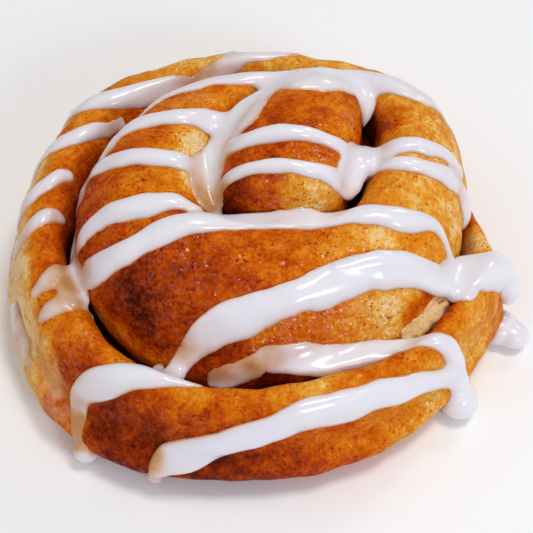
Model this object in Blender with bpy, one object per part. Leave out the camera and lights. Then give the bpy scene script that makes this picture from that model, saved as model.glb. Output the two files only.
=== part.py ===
"""An iced cinnamon roll: one strip of dough rolled up from its centre, the cinnamon filling
between its turns, and thick white icing drizzled over the top and down the sides.

The roll is about 100 mm across and stands on its flat base. +Z is up, -Y is the front, and the
origin is the middle of the base. Lengths in the tables are millimetres, and become metres as
the meshes are made.
"""

import math

import bmesh
import bpy
import numpy as np
from mathutils import Vector
from mathutils.bvhtree import BVHTree

MM = 0.001
MIDDLE = (0.2231, 5.5)  # of the whole roll in the tables' x and y, which becomes the origin

# ---------------------------------------------------------------- the strip of dough
# One row for each place along the strip, from the tongue at the centre out to the tail: where
# the middle of the strip is in plan (x, y), how wide it is there, how high its crest stands,
# how much lower its outer shoulder is than its inner one, and how far its outer wall swells.
STRIP = [
    (3.4, 7.6, 22.6, 40.0, 0.0, 0.0),  # the tongue, rolled up in the middle
    (4.4, 14.0, 24.4, 41.0, 0.0, 0.0),
    (7.3, 21.0, 23.4, 40.5, 0.0, 0.0),
    (10.0, 28.0, 20.0, 39.5, 1.0, 0.0),
    (10.0, 33.5, 13.0, 38.0, 2.0, 0.0),  # the turn at the back
    (3.5, 35.7, 7.5, 36.0, 2.0, 0.0),
    (-7.0, 33.2, 12.0, 36.5, 3.0, 0.0),
    (-16.5, 26.5, 18.5, 37.5, 4.0, 0.0),
    (-22.5, 17.5, 22.5, 38.5, 5.0, 0.0),  # second turn, left
    (-25.0, 4.0, 25.5, 38.0, 6.0, 0.0),
    (-20.5, -7.5, 27.0, 37.0, 9.0, 0.0),
    (-10.0, -14.0, 27.5, 36.5, 12.0, 0.0),  # second turn, front
    (2.5, -14.8, 26.6, 36.5, 13.0, 0.0),
    (13.0, -12.2, 25.0, 36.0, 12.0, 0.0),
    (22.5, -6.3, 23.6, 36.0, 10.0, 0.0),
    (28.6, 4.0, 20.6, 36.0, 8.0, 0.0),  # second turn, right
    (31.0, 17.0, 19.6, 36.0, 7.0, 0.6),
    (30.0, 29.0, 17.0, 34.5, 5.0, 3.0),
    (23.0, 38.5, 13.0, 33.0, 4.0, 3.0),
    (9.0, 44.0, 10.5, 32.0, 3.0, 3.0),  # outer turn, back
    (-8.0, 45.5, 10.5, 31.5, 3.0, 3.0),
    (-24.0, 41.5, 12.0, 30.5, 3.0, 3.0),
    (-36.0, 32.0, 13.5, 29.5, 3.0, 3.0),
    (-43.0, 17.0, 12.5, 28.0, 3.0, 3.0),  # outer turn, left
    (-45.0, 2.0, 11.0, 27.0, 3.0, 2.6),
    (-41.5, -12.0, 11.0, 26.0, 3.0, 3.4),
    (-33.0, -24.5, 11.0, 25.0, 3.0, 4.4),
    (-20.0, -32.3, 10.5, 24.5, 3.0, 4.6),  # outer turn, front
    (-2.0, -34.8, 10.0, 24.0, 3.0, 3.4),
    (14.5, -31.5, 9.5, 23.5, 3.0, 3.0),
    (28.0, -23.5, 8.5, 23.0, 3.0, 2.4),
    (37.5, -12.5, 8.5, 23.0, 2.0, 1.6),  # the tail
    (43.0, -4.0, 8.6, 21.5, 1.0, 1.0),
    (44.0, 3.0, 5.6, 19.5, 1.0, 1.0),
    (43.8, 9.0, 4.0, 18.5, 1.0, 1.0),
    (43.0, 13.0, 3.0, 18.0, 1.0, 1.0),
]
TURN_ROW = 5  # the row at the tight turn at the back
GROOVE = 10.0  # how far the top rounds down from its crest to a seam
TOP_POWER = 2.3  # 2 is a round top, more is squarer
SLOT = 1.8  # kept open between one turn and the next
TIGHTEST = 0.85  # of the bend's radius is the most that the strip may reach into a bend
TUCK = 6.0  # how far a free outer wall draws in where it stands
STEP = 3.9  # from one cross-section to the next
TOP_POINTS = 11  # across the top of a cross-section
WALL_LEVELS = (0.66, 0.33)  # of a side wall's height, from the top down
CAP_SECTIONS = 4  # that round off each end of the strip
CAP_REACH = (0.54, 1.0)  # how far the two ends round out, as a share of half the width there

# ---------------------------------------------------------------- the cinnamon filling
CLEAR = 0.45  # between the filling and the dough on each side of it
FILLING_WIDTHS = (0.6, 2.2)  # at least and at most
WIDEST_SLOT = 6.0  # past this there is no filling
TAIL_BARE = 3  # cross-sections of the tail that have no filling beside them
FILLING_STEP = 2.2
FILLING_BASE = 0.4  # how far its lower edge stays off the base
UNDER_SEAM = 0.6  # how far its upper edge stays under the shoulders of the dough

# ---------------------------------------------------------------- the icing
# Each stroke is a list of places on the dough: x, y, z, how wide the icing is there, and how far
# it stands up from the dough.
ICING = {
    "back_band": [
        (-47.0, 33.0, 12.0, 3.0, 1.4), (-45.0, 33.5, 18.0, 5.0, 1.6), (-41.0, 34.0, 25.5, 5.5, 1.6),
        (-36.0, 34.0, 28.5, 5.5, 1.6), (-30.0, 35.0, 29.0, 5.0, 1.6), (-23.0, 37.5, 29.0, 4.6, 1.6),
        (-15.0, 39.5, 29.5, 5.0, 1.6), (-8.0, 38.3, 31.0, 5.5, 1.6), (0.0, 37.8, 32.0, 6.0, 1.7),
        (6.0, 37.0, 33.5, 7.5, 1.7), (11.0, 36.3, 34.5, 8.0, 1.7), (16.0, 36.3, 33.5, 7.5, 1.8),
        (20.5, 35.8, 32.0, 7.5, 1.9), (25.0, 34.8, 32.5, 7.0, 1.7), (29.5, 33.0, 32.0, 6.5, 1.5),
        (33.5, 31.2, 30.0, 6.0, 1.4), (36.5, 29.8, 26.0, 5.0, 1.3), (38.8, 28.6, 20.0, 4.0, 1.2),
    ],
    "back_drip": [
        (19.5, 34.5, 31.5, 7.0, 1.8), (19.6, 30.5, 31.0, 5.5, 1.8), (19.1, 27.5, 31.0, 3.2, 1.5),
    ],
    "back_film": [
        (-17.0, 40.0, 29.0, 3.0, 0.7), (-12.0, 42.0, 29.5, 4.5, 0.8), (-7.5, 44.0, 30.0, 5.5, 0.9),
        (-3.0, 45.2, 30.5, 5.0, 0.9), (2.0, 45.5, 30.5, 3.5, 0.8), (6.5, 45.3, 30.0, 2.0, 0.6),
    ],
    "back_run": [
        (-7.0, 45.0, 30.0, 5.0, 0.9), (-8.5, 49.0, 25.0, 4.2, 1.1), (-8.8, 51.5, 18.0, 3.6, 1.3),
        (-8.5, 51.8, 12.0, 3.4, 1.6),
    ],
    "far_left": [
        (-29.0, 31.0, 26.5, 2.5, 1.3), (-31.5, 29.7, 27.0, 3.8, 1.5), (-35.0, 27.0, 27.8, 5.2, 1.6),
        (-39.5, 24.5, 28.0, 5.6, 1.6), (-44.0, 23.0, 26.0, 5.6, 1.6), (-47.5, 21.5, 20.0, 5.2, 1.5),
        (-49.5, 19.8, 13.0, 4.2, 1.4),
    ],
    "left": [
        (-38.8, 14.3, 25.0, 4.2, 1.5), (-41.0, 13.2, 26.5, 4.8, 1.7), (-44.0, 11.3, 26.7, 4.5, 1.6),
        (-47.0, 10.2, 25.0, 4.2, 1.4), (-49.5, 9.8, 21.0, 4.8, 1.2), (-51.3, 9.0, 14.0, 4.2, 1.0),
    ],
    "left_front": [
        (-39.7, 5.8, 24.0, 4.6, 1.4), (-42.3, 4.0, 26.0, 4.6, 1.5), (-45.2, 2.6, 26.2, 4.2, 1.4),
        (-48.0, 1.6, 24.0, 4.5, 1.1), (-49.8, 1.6, 19.0, 4.6, 0.9), (-50.8, 2.4, 14.0, 3.6, 0.5),
    ],
    "upper": [
        (-33.2, 14.5, 30.5, 1.2, 0.7), (-31.8, 16.9, 31.8, 1.8, 0.9), (-29.5, 19.2, 33.3, 3.6, 1.4),
        (-26.0, 20.5, 35.2, 4.5, 1.6), (-21.0, 20.8, 36.5, 5.0, 1.6), (-16.0, 21.0, 36.5, 5.2, 1.6),
        (-11.5, 22.0, 35.0, 6.5, 1.6), (-8.0, 24.0, 32.5, 7.5, 1.5),
    ],
    "pool": [
        (3.5, 34.2, 34.0, 6.0, 1.6), (-0.5, 31.7, 33.0, 6.0, 1.6), (-4.0, 28.6, 31.8, 6.5, 1.5),
        (-6.8, 25.0, 31.0, 7.5, 1.4), (-8.8, 20.5, 30.0, 8.2, 1.2), (-10.2, 15.5, 28.6, 8.4, 1.1),
        (-10.8, 10.5, 27.6, 8.4, 1.0), (-10.6, 6.0, 26.8, 7.4, 0.9), (-9.2, 2.0, 26.3, 5.6, 0.8),
    ],
    "middle": [
        (-37.9, 8.0, 20.0, 1.6, 0.8), (-37.4, 10.8, 23.0, 2.4, 1.1), (-35.6, 12.6, 28.0, 3.6, 1.4),
        (-31.5, 11.7, 33.0, 4.6, 1.6), (-26.5, 10.8, 36.0, 4.8, 1.6), (-21.0, 10.0, 37.0, 4.6, 1.6),
        (-16.0, 9.4, 36.0, 5.0, 1.6), (-12.3, 11.0, 32.0, 6.0, 1.4),
    ],
    "lower": [
        (-37.2, -3.8, 20.5, 3.0, 1.1), (-36.4, -2.8, 24.5, 3.4, 1.3), (-34.3, -1.7, 29.0, 3.8, 1.5),
        (-30.5, -1.2, 32.5, 4.5, 1.6), (-25.0, -1.0, 35.0, 5.4, 1.7), (-20.5, -0.6, 35.7, 5.3, 1.7),
        (-17.0, -0.2, 35.6, 3.8, 1.5), (-13.0, -0.8, 33.5, 2.4, 1.1),
    ],
    "seam_run": [
        (-37.2, -3.8, 20.5, 3.0, 0.9), (-37.0, -7.0, 20.0, 3.6, 0.8), (-35.5, -10.5, 19.5, 4.0, 0.8),
        (-33.2, -13.6, 19.5, 3.4, 0.8),
    ],
    "left_sheet": [
        (-37.0, -6.5, 20.0, 6.0, 0.7), (-39.3, -8.3, 23.5, 6.5, 0.7), (-42.0, -9.7, 25.0, 5.5, 0.8),
        (-44.5, -10.5, 23.5, 4.5, 0.8),
    ],
    "left_lobe": [
        (-35.0, -11.8, 19.5, 5.0, 0.7), (-36.8, -14.5, 23.5, 4.8, 0.8), (-39.3, -16.2, 24.8, 4.2, 0.9),
        (-42.0, -17.0, 23.0, 4.0, 0.9), (-44.3, -16.0, 19.0, 4.0, 0.8),
    ],
    "left_wall": [
        (-50.0, -8.0, 11.0, 4.5, 1.5), (-49.0, -12.0, 10.5, 5.0, 1.2), (-47.3, -16.0, 10.0, 5.0, 0.9),
        (-46.0, -19.0, 9.5, 4.0, 0.7),
    ],
    "brow": [
        (-34.5, -8.3, 24.5, 5.2, 1.5), (-31.5, -9.2, 27.5, 6.2, 1.7), (-27.5, -9.2, 30.8, 5.6, 1.7),
        (-22.9, -7.7, 33.1, 5.2, 1.7), (-18.5, -6.5, 34.3, 6.0, 1.8), (-13.0, -5.3, 34.4, 5.0, 1.7),
        (-6.5, -3.6, 33.5, 4.8, 1.6), (0.0, -2.1, 32.5, 4.7, 1.6), (5.0, -1.8, 33.0, 5.0, 1.7),
        (9.0, -1.2, 33.0, 5.8, 1.8), (12.5, -2.0, 33.0, 4.6, 1.5), (18.0, -1.4, 33.7, 5.0, 1.7),
        (24.5, -2.2, 32.9, 5.3, 1.7), (29.5, -1.7, 31.2, 4.7, 1.6), (33.2, -2.0, 28.8, 4.6, 1.6),
        (35.8, -3.4, 24.5, 4.6, 1.5), (37.0, -4.8, 20.5, 5.0, 1.4),
    ],
    "diagonal": [
        (36.0, -6.5, 20.5, 8.5, 1.5), (33.0, -8.0, 24.8, 7.0, 1.8), (28.5, -9.3, 27.8, 6.3, 2.0),
        (22.3, -11.5, 29.8, 6.5, 2.1), (15.5, -13.4, 30.2, 6.9, 2.1), (9.5, -15.8, 30.0, 7.3, 2.1),
        (3.0, -18.2, 29.3, 6.4, 2.0), (-3.5, -20.6, 27.8, 6.8, 2.0), (-9.0, -22.0, 26.3, 6.5, 1.9),
        (-13.5, -23.6, 23.8, 5.4, 1.5), (-16.2, -25.0, 21.0, 4.2, 1.2), (-17.0, -27.5, 20.0, 4.0, 1.1),
        (-16.5, -30.5, 22.5, 3.0, 1.1),
    ],
    "tail_cover": [
        (35.5, -5.2, 20.8, 8.5, 1.6), (39.0, -5.2, 21.8, 9.4, 2.0), (42.8, -4.2, 21.8, 8.6, 2.1),
        (46.0, -3.0, 18.5, 7.6, 2.2), (47.6, -1.8, 13.8, 6.6, 2.4),
    ],
    "right_low": [
        (-2.0, -27.2, 19.0, 3.5, 0.6), (3.0, -26.9, 19.0, 4.6, 0.7), (8.0, -25.9, 19.3, 5.0, 0.8),
        (14.0, -24.3, 19.5, 4.6, 1.0), (20.0, -22.2, 19.5, 4.2, 1.2), (25.5, -21.5, 20.5, 3.4, 1.2),
        (30.0, -22.3, 21.0, 3.2, 1.3), (34.0, -21.8, 17.5, 4.2, 1.6), (36.6, -21.8, 11.5, 4.8, 2.0),
        (37.2, -22.5, 7.5, 5.5, 2.2),
    ],
    "front_band": [
        (-20.4, -40.3, 6.5, 3.6, 1.7), (-19.0, -40.0, 9.0, 5.0, 1.8), (-14.5, -39.3, 11.5, 7.0, 1.9),
        (-8.0, -39.4, 15.3, 7.3, 2.0), (-1.5, -38.8, 18.0, 6.9, 2.0), (5.5, -37.3, 19.4, 6.2, 1.9),
        (12.0, -35.6, 19.7, 6.3, 2.0), (19.5, -32.5, 19.1, 6.3, 2.0), (26.0, -29.4, 17.2, 6.4, 1.9),
        (31.5, -25.6, 14.5, 6.0, 1.7), (35.5, -22.6, 10.5, 5.0, 1.6),
    ],
    "corner": [
        (-34.6, -34.4, 6.0, 4.2, 1.7), (-36.2, -33.3, 10.0, 4.0, 1.4), (-36.5, -31.6, 14.0, 4.6, 1.3),
        (-33.3, -30.3, 18.0, 6.2, 1.6), (-28.5, -31.1, 21.9, 6.0, 1.8), (-23.0, -31.3, 23.4, 6.1, 1.8),
        (-18.5, -32.2, 23.4, 4.0, 1.5), (-14.0, -33.1, 23.3, 2.2, 1.1), (-11.0, -33.3, 23.3, 1.4, 0.8),
    ],
    "tongue_upper": [
        (-8.3, 17.5, 28.0, 3.5, 1.2), (-5.5, 14.3, 36.0, 4.6, 1.5), (-2.0, 12.9, 39.2, 5.0, 1.6),
        (2.5, 12.5, 40.7, 4.9, 1.7), (7.0, 13.0, 40.8, 4.3, 1.6), (11.5, 12.7, 39.5, 4.6, 1.7),
        (14.8, 12.9, 36.5, 5.0, 1.7), (18.8, 15.0, 30.5, 6.0, 1.5), (22.5, 16.4, 31.5, 5.4, 1.6),
        (26.8, 16.3, 34.2, 4.7, 1.6), (31.5, 16.4, 33.3, 5.2, 1.6), (36.0, 16.9, 30.3, 5.2, 1.6),
        (39.0, 16.2, 26.5, 4.8, 1.2), (40.4, 15.4, 22.5, 3.6, 0.9),
    ],
    "tongue_lower": [
        (-7.9, 3.5, 27.0, 2.6, 1.1), (-7.0, 5.4, 31.5, 3.6, 1.4), (-4.5, 5.5, 36.4, 4.2, 1.6),
        (0.0, 5.0, 38.9, 4.2, 1.7), (5.0, 4.4, 39.2, 4.6, 1.7), (9.5, 4.6, 37.9, 5.4, 1.7),
        (12.8, 5.8, 35.5, 5.2, 1.7), (15.5, 7.6, 31.0, 5.0, 1.6),
    ],
    "right_rope": [
        (19.3, 17.5, 30.0, 6.0, 1.6), (18.6, 14.0, 29.0, 6.5, 1.7), (17.6, 11.2, 28.0, 5.6, 1.7),
        (16.4, 8.8, 27.3, 4.6, 1.7),
    ],
    "right_upper": [
        (19.5, 13.2, 29.0, 3.4, 1.2), (22.3, 12.4, 32.0, 4.2, 1.5), (26.0, 11.5, 34.2, 4.2, 1.6),
        (31.0, 11.3, 33.2, 4.3, 1.6), (35.5, 12.0, 30.8, 4.7, 1.6), (38.4, 13.4, 27.6, 4.8, 1.5),
        (39.6, 13.0, 24.0, 4.2, 1.1), (40.6, 12.6, 20.0, 3.0, 0.9),
    ],
}
# Drops where a run of icing ends: middle x, y, z and the three half lengths.
DROPS = [
    (-34.4, -35.0, 4.0, 2.5, 2.3, 3.3),
    (-20.8, -40.4, 4.6, 1.8, 1.7, 2.4),
    (38.0, -23.8, 4.0, 3.9, 3.9, 3.8),
    (47.4, -5.4, 3.4, 3.4, 3.2, 2.9),
    (50.8, -7.6, 2.9, 2.9, 2.8, 2.4),
    (-51.4, 7.6, 9.6, 1.8, 2.6, 3.2),
    (-8.6, 51.6, 10.5, 2.0, 1.4, 2.4),
]
# The thin lip of dough that stands up at the right of the front, in the same five numbers.
LIP = [
    (33.8, -9.8, 22.5, 1.6, 1.0), (33.3, -12.2, 22.0, 2.8, 1.2), (31.0, -15.3, 21.0, 3.2, 1.2),
    (27.8, -18.0, 20.0, 2.4, 1.0),
]
ICING_STEP = 3.2  # between the cross-sections of a stroke
ICING_RING = (  # across the stroke (-1 to 1), share of its rise
    (-1.0, -0.15), (-0.62, 0.8), (0.0, 1.0), (0.62, 0.8), (1.0, -0.15),
)
ICING_ROOT = (0.55, -0.55)  # across the stroke, the two points sunk into the dough
ROOT_DEPTH = 1.3
REST_SLACK = 2.2  # how far icing may lie from the height its row gives
LOWEST = 0.5  # icing stays this far off the base
OVAL = (-2.3, 3.5, 51.0, 46.0)  # the roll's outline in plan: middle x, y and half lengths


def smooth_path(rows, step):
    """The rows joined by a Catmull-Rom curve, with a point every step along it."""
    rows = np.array(rows, float)
    padded = np.vstack([2 * rows[0] - rows[1], rows, 2 * rows[-1] - rows[-2]])
    fine = []
    for a, b, c, d in zip(padded, padded[1:], padded[2:], padded[3:]):
        for t in np.linspace(0, 1, 24, endpoint=False):
            square = (2 * a - 5 * b + 4 * c - d) * t * t
            cube = (3 * b - a - 3 * c + d) * t**3
            fine.append(0.5 * (2 * b + (c - a) * t + square + cube))
    fine = np.array(fine + [rows[-1]])
    return resampled(fine, step)


def resampled(rows, step):
    """The same line with its points an even step apart in plan."""
    gaps = np.linalg.norm(np.diff(rows[:, :2], axis=0), axis=1)
    along = np.concatenate([[0], np.cumsum(gaps)])
    wanted = np.linspace(0, along[-1], round(along[-1] / step) + 1)
    return np.stack([np.interp(wanted, along, column) for column in rows.T], axis=1)


def directions(path):
    """Unit vectors along a path in plan."""
    ahead = np.gradient(path[:, :2], axis=0)
    return ahead / np.linalg.norm(ahead, axis=1)[:, None]


def ease(x):
    """0 to 1, with a smooth start and end."""
    x = min(max(x, 0.0), 1.0)
    return x * x * (3 - 2 * x)


def distance_along(start, way, line):
    """How far from start, going in a direction, a line in plan is crossed first."""
    nearest = math.inf
    for a, b in zip(line, line[1:]):
        edge = b - a
        cross = way[0] * edge[1] - way[1] * edge[0]
        if abs(cross) < 1e-9:
            continue
        gap = a - start
        reach = (gap[0] * edge[1] - gap[1] * edge[0]) / cross
        share = (gap[0] * way[1] - gap[1] * way[0]) / cross
        if reach > 0 and 0 <= share <= 1:
            nearest = min(nearest, reach)
    return nearest


def strip_path():
    """The strip's places: x, y, reach to the inner wall, reach to the outer wall, crest, fall
    and swell. A wall is held back where it would meet the next turn, or fold into a tight bend."""
    rows = smooth_path(STRIP, STEP)
    rows[:, 5] = np.maximum(rows[:, 5], 0)
    ahead = directions(rows)
    outward = np.stack([ahead[:, 1], -ahead[:, 0]], axis=1)
    heading = np.unwrap(np.arctan2(ahead[:, 1], ahead[:, 0]))
    bend = np.gradient(heading) / STEP
    inner = rows[:, 2] / 2
    outer = rows[:, 2] / 2
    radius = 1 / np.maximum(bend, 1e-3)
    inner = np.minimum(inner, TIGHTEST * radius)
    edge = rows[:, :2] - outward * inner[:, None]
    turn_at = int(np.argmin(np.linalg.norm(rows[:, :2] - STRIP[TURN_ROW][:2], axis=1)))
    for i, (row, way) in enumerate(zip(rows, outward)):
        reach = distance_along(row[:2], way, edge[max(i + 12, turn_at) :])
        outer[i] = min(outer[i], reach - SLOT)
        if i < turn_at - 3:
            reach = distance_along(row[:2], -way, edge[turn_at:])
            inner[i] = min(inner[i], reach - SLOT)
    path = np.column_stack([rows[:, :2], inner, outer, rows[:, 3:]])
    return path, ahead


def section(place, ahead, squeeze=1.0):
    """One closed cross-section of the strip: up the inner wall, over the top, down the outer
    wall. squeeze makes it narrower and lower, towards a rounded end."""
    x, y, inner_reach, outer_reach, crest, fall, swell = place
    outward = Vector((ahead[1], -ahead[0]))
    points = []

    def add(across, height):
        points.append((x + outward.x * across, y + outward.y * across, height))

    inner = crest - GROOVE
    outer = crest - fall - GROOVE
    left = -inner_reach * squeeze
    right = outer_reach * squeeze
    for level in (0.0, *reversed(WALL_LEVELS)):
        add(left, inner * level)
    for k in range(TOP_POINTS):
        turn = math.pi * k / (TOP_POINTS - 1)
        across = -math.copysign(abs(math.cos(turn)) ** (2 / TOP_POWER), math.cos(turn))
        rise = math.sin(turn) ** (2 / TOP_POWER) if 0 < k < TOP_POINTS - 1 else 0.0
        share = (across + 1) / 2
        height = inner + (outer - inner) * share**1.5 + GROOVE * rise * squeeze
        add(left + (right - left) * share, height)
    for level in (*WALL_LEVELS, 0.0):
        out = 4 * swell * level * (1 - level) - min(TUCK, 2 * swell) * (1 - level) ** 3
        add(right + out * squeeze, outer * level)
    return points


def strip_sections(path, ahead):
    """The cross-sections of the whole strip, with a rounded cap at each end."""
    rings = [section(place, way) for place, way in zip(path, ahead)]
    for end, sign, share in ((0, -1, CAP_REACH[0]), (len(path) - 1, 1, CAP_REACH[1])):
        half = (path[end][2] + path[end][3]) / 2
        for k in range(1, CAP_SECTIONS + 1):
            turn = math.pi / 2 * k / (CAP_SECTIONS + 0.3)
            place = path[end].copy()
            place[:2] += ahead[end] * sign * share * half * math.sin(turn)
            cap = section(place, ahead[end], math.cos(turn))
            rings.insert(0, cap) if end == 0 else rings.append(cap)
    return rings


def walls(path, ahead):
    """The strip's inner and outer walls in plan, with the height of each wall's top."""
    outward = np.stack([ahead[:, 1], -ahead[:, 0]], axis=1)
    inner = np.hstack([path[:, :2] - outward * path[:, 2:3], path[:, 4:5] - GROOVE])
    outer = np.hstack([path[:, :2] + outward * path[:, 3:4], path[:, 4:5] - path[:, 5:6] - GROOVE])
    return inner, outer


def filling_rows(path, ahead):
    """Where the filling runs: x, y, half its width along x and y, and its top. It lies midway
    between the two walls that face each other, all the way from the tight turn to the tail."""
    inner, outer = walls(path, ahead)
    turn_at = int(np.argmin(np.linalg.norm(path[:, :2] - STRIP[TURN_ROW][:2], axis=1)))
    tip = []
    for angle in np.linspace(0, math.pi, 9)[1:-1]:
        half = (path[0, 2] + path[0, 3]) / 2
        back = -ahead[0] * half * CAP_REACH[0] * math.sin(angle)
        outward = np.array([ahead[0][1], -ahead[0][0]])
        side = outward * (-path[0, 2] if angle < math.pi / 2 else path[0, 3]) * abs(math.cos(angle))
        tip.append([*(path[0, :2] + back + side), inner[0, 2]])
    near = np.vstack([inner[turn_at - 4 :: -1], tip, outer])
    near = resampled(near, 0.6)
    far = resampled(inner[turn_at:-TAIL_BARE], 0.6)
    rows = []
    for place in near:
        gaps = np.linalg.norm(far[:, :2] - place[:2], axis=1)
        nearest = int(np.argmin(gaps))
        if rows and nearest == len(far) - 1:
            break
        faced = far[nearest]
        gap = gaps[nearest]
        if not FILLING_WIDTHS[0] + 2 * CLEAR < gap < WIDEST_SLOT:
            continue
        width = min(gap - 2 * CLEAR, FILLING_WIDTHS[1])
        across = (faced[:2] - place[:2]) / gap * width / 2
        top = min(place[2], faced[2])
        rows.append([*((faced[:2] + place[:2]) / 2), *across, top])
    return np.array(rows)


def evened(rows, reach):
    """Each row averaged with its neighbours, the ends kept."""
    padded = np.vstack([rows[:1]] * reach + [rows] + [rows[-1:]] * reach)
    return np.mean([padded[k : k + len(rows)] for k in range(2 * reach + 1)], axis=0)


def roof_over(row, body):
    """The lowest underside of the body above one place of the filling."""
    x, y, across_x, across_y, top = row
    lowest = math.inf
    for share in (-1.5, -1.0, -0.5, 0.0, 0.5, 1.0, 1.5):
        start = Vector((x + across_x * share, y + across_y * share, FILLING_BASE))
        met = body.ray_cast(start, Vector((0, 0, 1)))[0]
        if met:
            lowest = min(lowest, met.z)
    return lowest


def filling_sections(path, ahead, body):
    """Cross-sections of the filling, its top kept under the dough and icing that reach over it."""
    rows = resampled(evened(filling_rows(path, ahead), 1), FILLING_STEP)
    fine = resampled(rows, 0.4)
    roofs = np.array([roof_over(row, body) for row in fine])
    rings = []
    for x, y, across_x, across_y, top in rows:
        close = np.linalg.norm(fine[:, :2] - (x, y), axis=1) < 1.4 * FILLING_STEP
        top = min(top - UNDER_SEAM, roofs[close].min() - 2 * CLEAR)
        left = (x - across_x, y - across_y)
        right = (x + across_x, y + across_y)
        rings.append([(*left, FILLING_BASE), (*left, top), (*right, top), (*right, FILLING_BASE)])
    return rings


def outside(x, y, z):
    """The direction from which the dough is reached at a place: from above on the top, from the
    side on the outer wall."""
    dx = (x - OVAL[0]) / OVAL[2]
    dy = (y - OVAL[1]) / OVAL[3]
    away = Vector((dx / OVAL[2], dy / OVAL[3], 0)).normalized()
    tilt = ease((math.hypot(dx, dy) - 0.78) / 0.08) * ease((25 - z) / 14)
    return (away * math.sin(tilt * math.pi / 2) + Vector((0, 0, math.cos(tilt * math.pi / 2)))).normalized()


def rounded_ends(rows):
    """A stroke's rows with three more at each end, so that it closes in a half circle."""
    out = [np.array(row, float) for row in rows]
    for end, step in ((0, 1), (-1, -1)):
        row = out[end].copy()
        way = row[:3] - np.array(rows[end + step][:3], float)
        way = way / np.linalg.norm(way)
        added = []
        for angle in (0.5, 1.0, 1.4):
            more = row.copy()
            more[:3] += way * row[3] / 2 * math.sin(angle)
            more[3] *= math.cos(angle)
            more[4] *= math.cos(angle) ** 0.5
            added.append(more)
        out = added[::-1] + out if end == 0 else out + added
    return out


def stroke_sections(rows, dough, step, ring):
    """Cross-sections of a stroke of icing laid on the dough."""
    rows = np.array(rows, float)
    along = np.concatenate([[0], np.cumsum(np.linalg.norm(np.diff(rows[:, :3], axis=0), axis=1))])
    wanted = np.linspace(0, along[-1], max(3, round(along[-1] / step) + 1))
    path = np.stack([np.interp(wanted, along, column) for column in rows.T], axis=1)
    ways = np.gradient(path[:, :3], axis=0)
    shares = [across for across, _ in ring] + list(ICING_ROOT)
    rests = np.zeros((len(path), len(shares)))
    frames = []
    for i, (row, way) in enumerate(zip(path, ways)):
        out = outside(*row[:3])
        side = Vector(way).cross(out).normalized()
        frames.append((Vector(row[:3]), out, side))
        for j, across in enumerate(shares):
            start = frames[-1][0] + side * across * row[3] / 2
            met = dough.ray_cast(start + out * 12, -out, 12 + 3 * REST_SLACK)[0]
            height = (met - start).dot(out) if met else -REST_SLACK
            rests[i, j] = min(max(height, -REST_SLACK), REST_SLACK)
    rests = evened(rests, 1)
    rings = []
    for (start, out, side), row, rest in zip(frames, path, rests):
        lifts = [share * row[4] for _, share in ring] + [-ROOT_DEPTH] * len(ICING_ROOT)
        points = []
        for across, height, lift in zip(shares, rest, lifts):
            point = start + side * across * row[3] / 2 + out * (height + lift)
            points.append((point.x, point.y, max(point.z, LOWEST)))
        rings.append(points)
    return rings


def loft(name, rings):
    """One closed body through the rings: the first ring is drawn out from each to the next."""
    bm = bmesh.new()
    place = bm.verts.layers.int.new("place")
    verts = [bm.verts.new(Vector(p) * MM) for p in rings[0]]
    for i, vert in enumerate(verts):
        vert[place] = i
    edges = [bm.edges.new((verts[i - 1], verts[i])) for i in range(len(verts))]
    ends = [list(edges)]
    for ring in rings[1:]:
        made = bmesh.ops.extrude_edge_only(bm, edges=edges)["geom"]
        edges = [g for g in made if isinstance(g, bmesh.types.BMEdge)]
        for vert in (g for g in made if isinstance(g, bmesh.types.BMVert)):
            vert.co = Vector(ring[vert[place]]) * MM
    ends.append(edges)
    for loop in ends:
        bmesh.ops.contextual_create(bm, geom=loop)
    bmesh.ops.recalc_face_normals(bm, faces=bm.faces)
    return finished(name, bm)


def drop(name, x, y, z, *halves):
    """A rounded drop of icing."""
    bm = bmesh.new()
    bmesh.ops.create_icosphere(bm, subdivisions=2, radius=1.0)
    for vert in bm.verts:
        point = Vector((x, y, z)) + Vector(c * h for c, h in zip(vert.co, halves))
        vert.co = Vector((point.x, point.y, max(point.z, LOWEST))) * MM
    return finished(name, bm)


def finished(name, bm):
    mesh = bpy.data.meshes.new(name)
    bm.to_mesh(mesh)
    bm.free()
    made = bpy.data.objects.new(name, mesh)
    bpy.context.scene.collection.objects.link(made)
    return made


def joined(body, others):
    """The body and the others as one solid, by one union, without scraps or sealed hollows."""
    group = bpy.data.collections.new("joined")
    for other in others:
        group.objects.link(other)
    union = body.modifiers.new("union", "BOOLEAN")
    union.operation = "UNION"
    union.operand_type = "COLLECTION"
    union.collection = group
    union.solver = "MANIFOLD"
    graph = bpy.context.evaluated_depsgraph_get()
    mesh = bpy.data.meshes.new_from_object(body.evaluated_get(graph))
    body.modifiers.remove(union)
    body.data = mesh
    for other in others:
        bpy.data.objects.remove(other, do_unlink=True)
    bpy.data.collections.remove(group)
    keep_largest(mesh)


def keep_largest(mesh):
    """Removes every piece of the surface but the one that encloses most."""
    bm = bmesh.new()
    bm.from_mesh(mesh)
    left = set(bm.verts)
    pieces = []
    while left:
        piece = {left.pop()}
        edge_of = list(piece)
        while edge_of:
            vert = edge_of.pop()
            for edge in vert.link_edges:
                other = edge.other_vert(vert)
                if other in left:
                    left.remove(other)
                    piece.add(other)
                    edge_of.append(other)
        pieces.append(piece)
    pieces.sort(key=len)
    for piece in pieces[:-1]:
        bmesh.ops.delete(bm, geom=list(piece), context="VERTS")
    bmesh.ops.triangulate(bm, faces=bm.faces)
    bm.to_mesh(mesh)
    bm.free()


def material(name, color, roughness):
    made = bpy.data.materials.new(name)
    made.use_nodes = True
    shader = made.node_tree.nodes["Principled BSDF"]
    shader.inputs["Base Color"].default_value = (*color, 1.0)
    shader.inputs["Roughness"].default_value = roughness
    shader.inputs["Metallic"].default_value = 0.0
    return made


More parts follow.
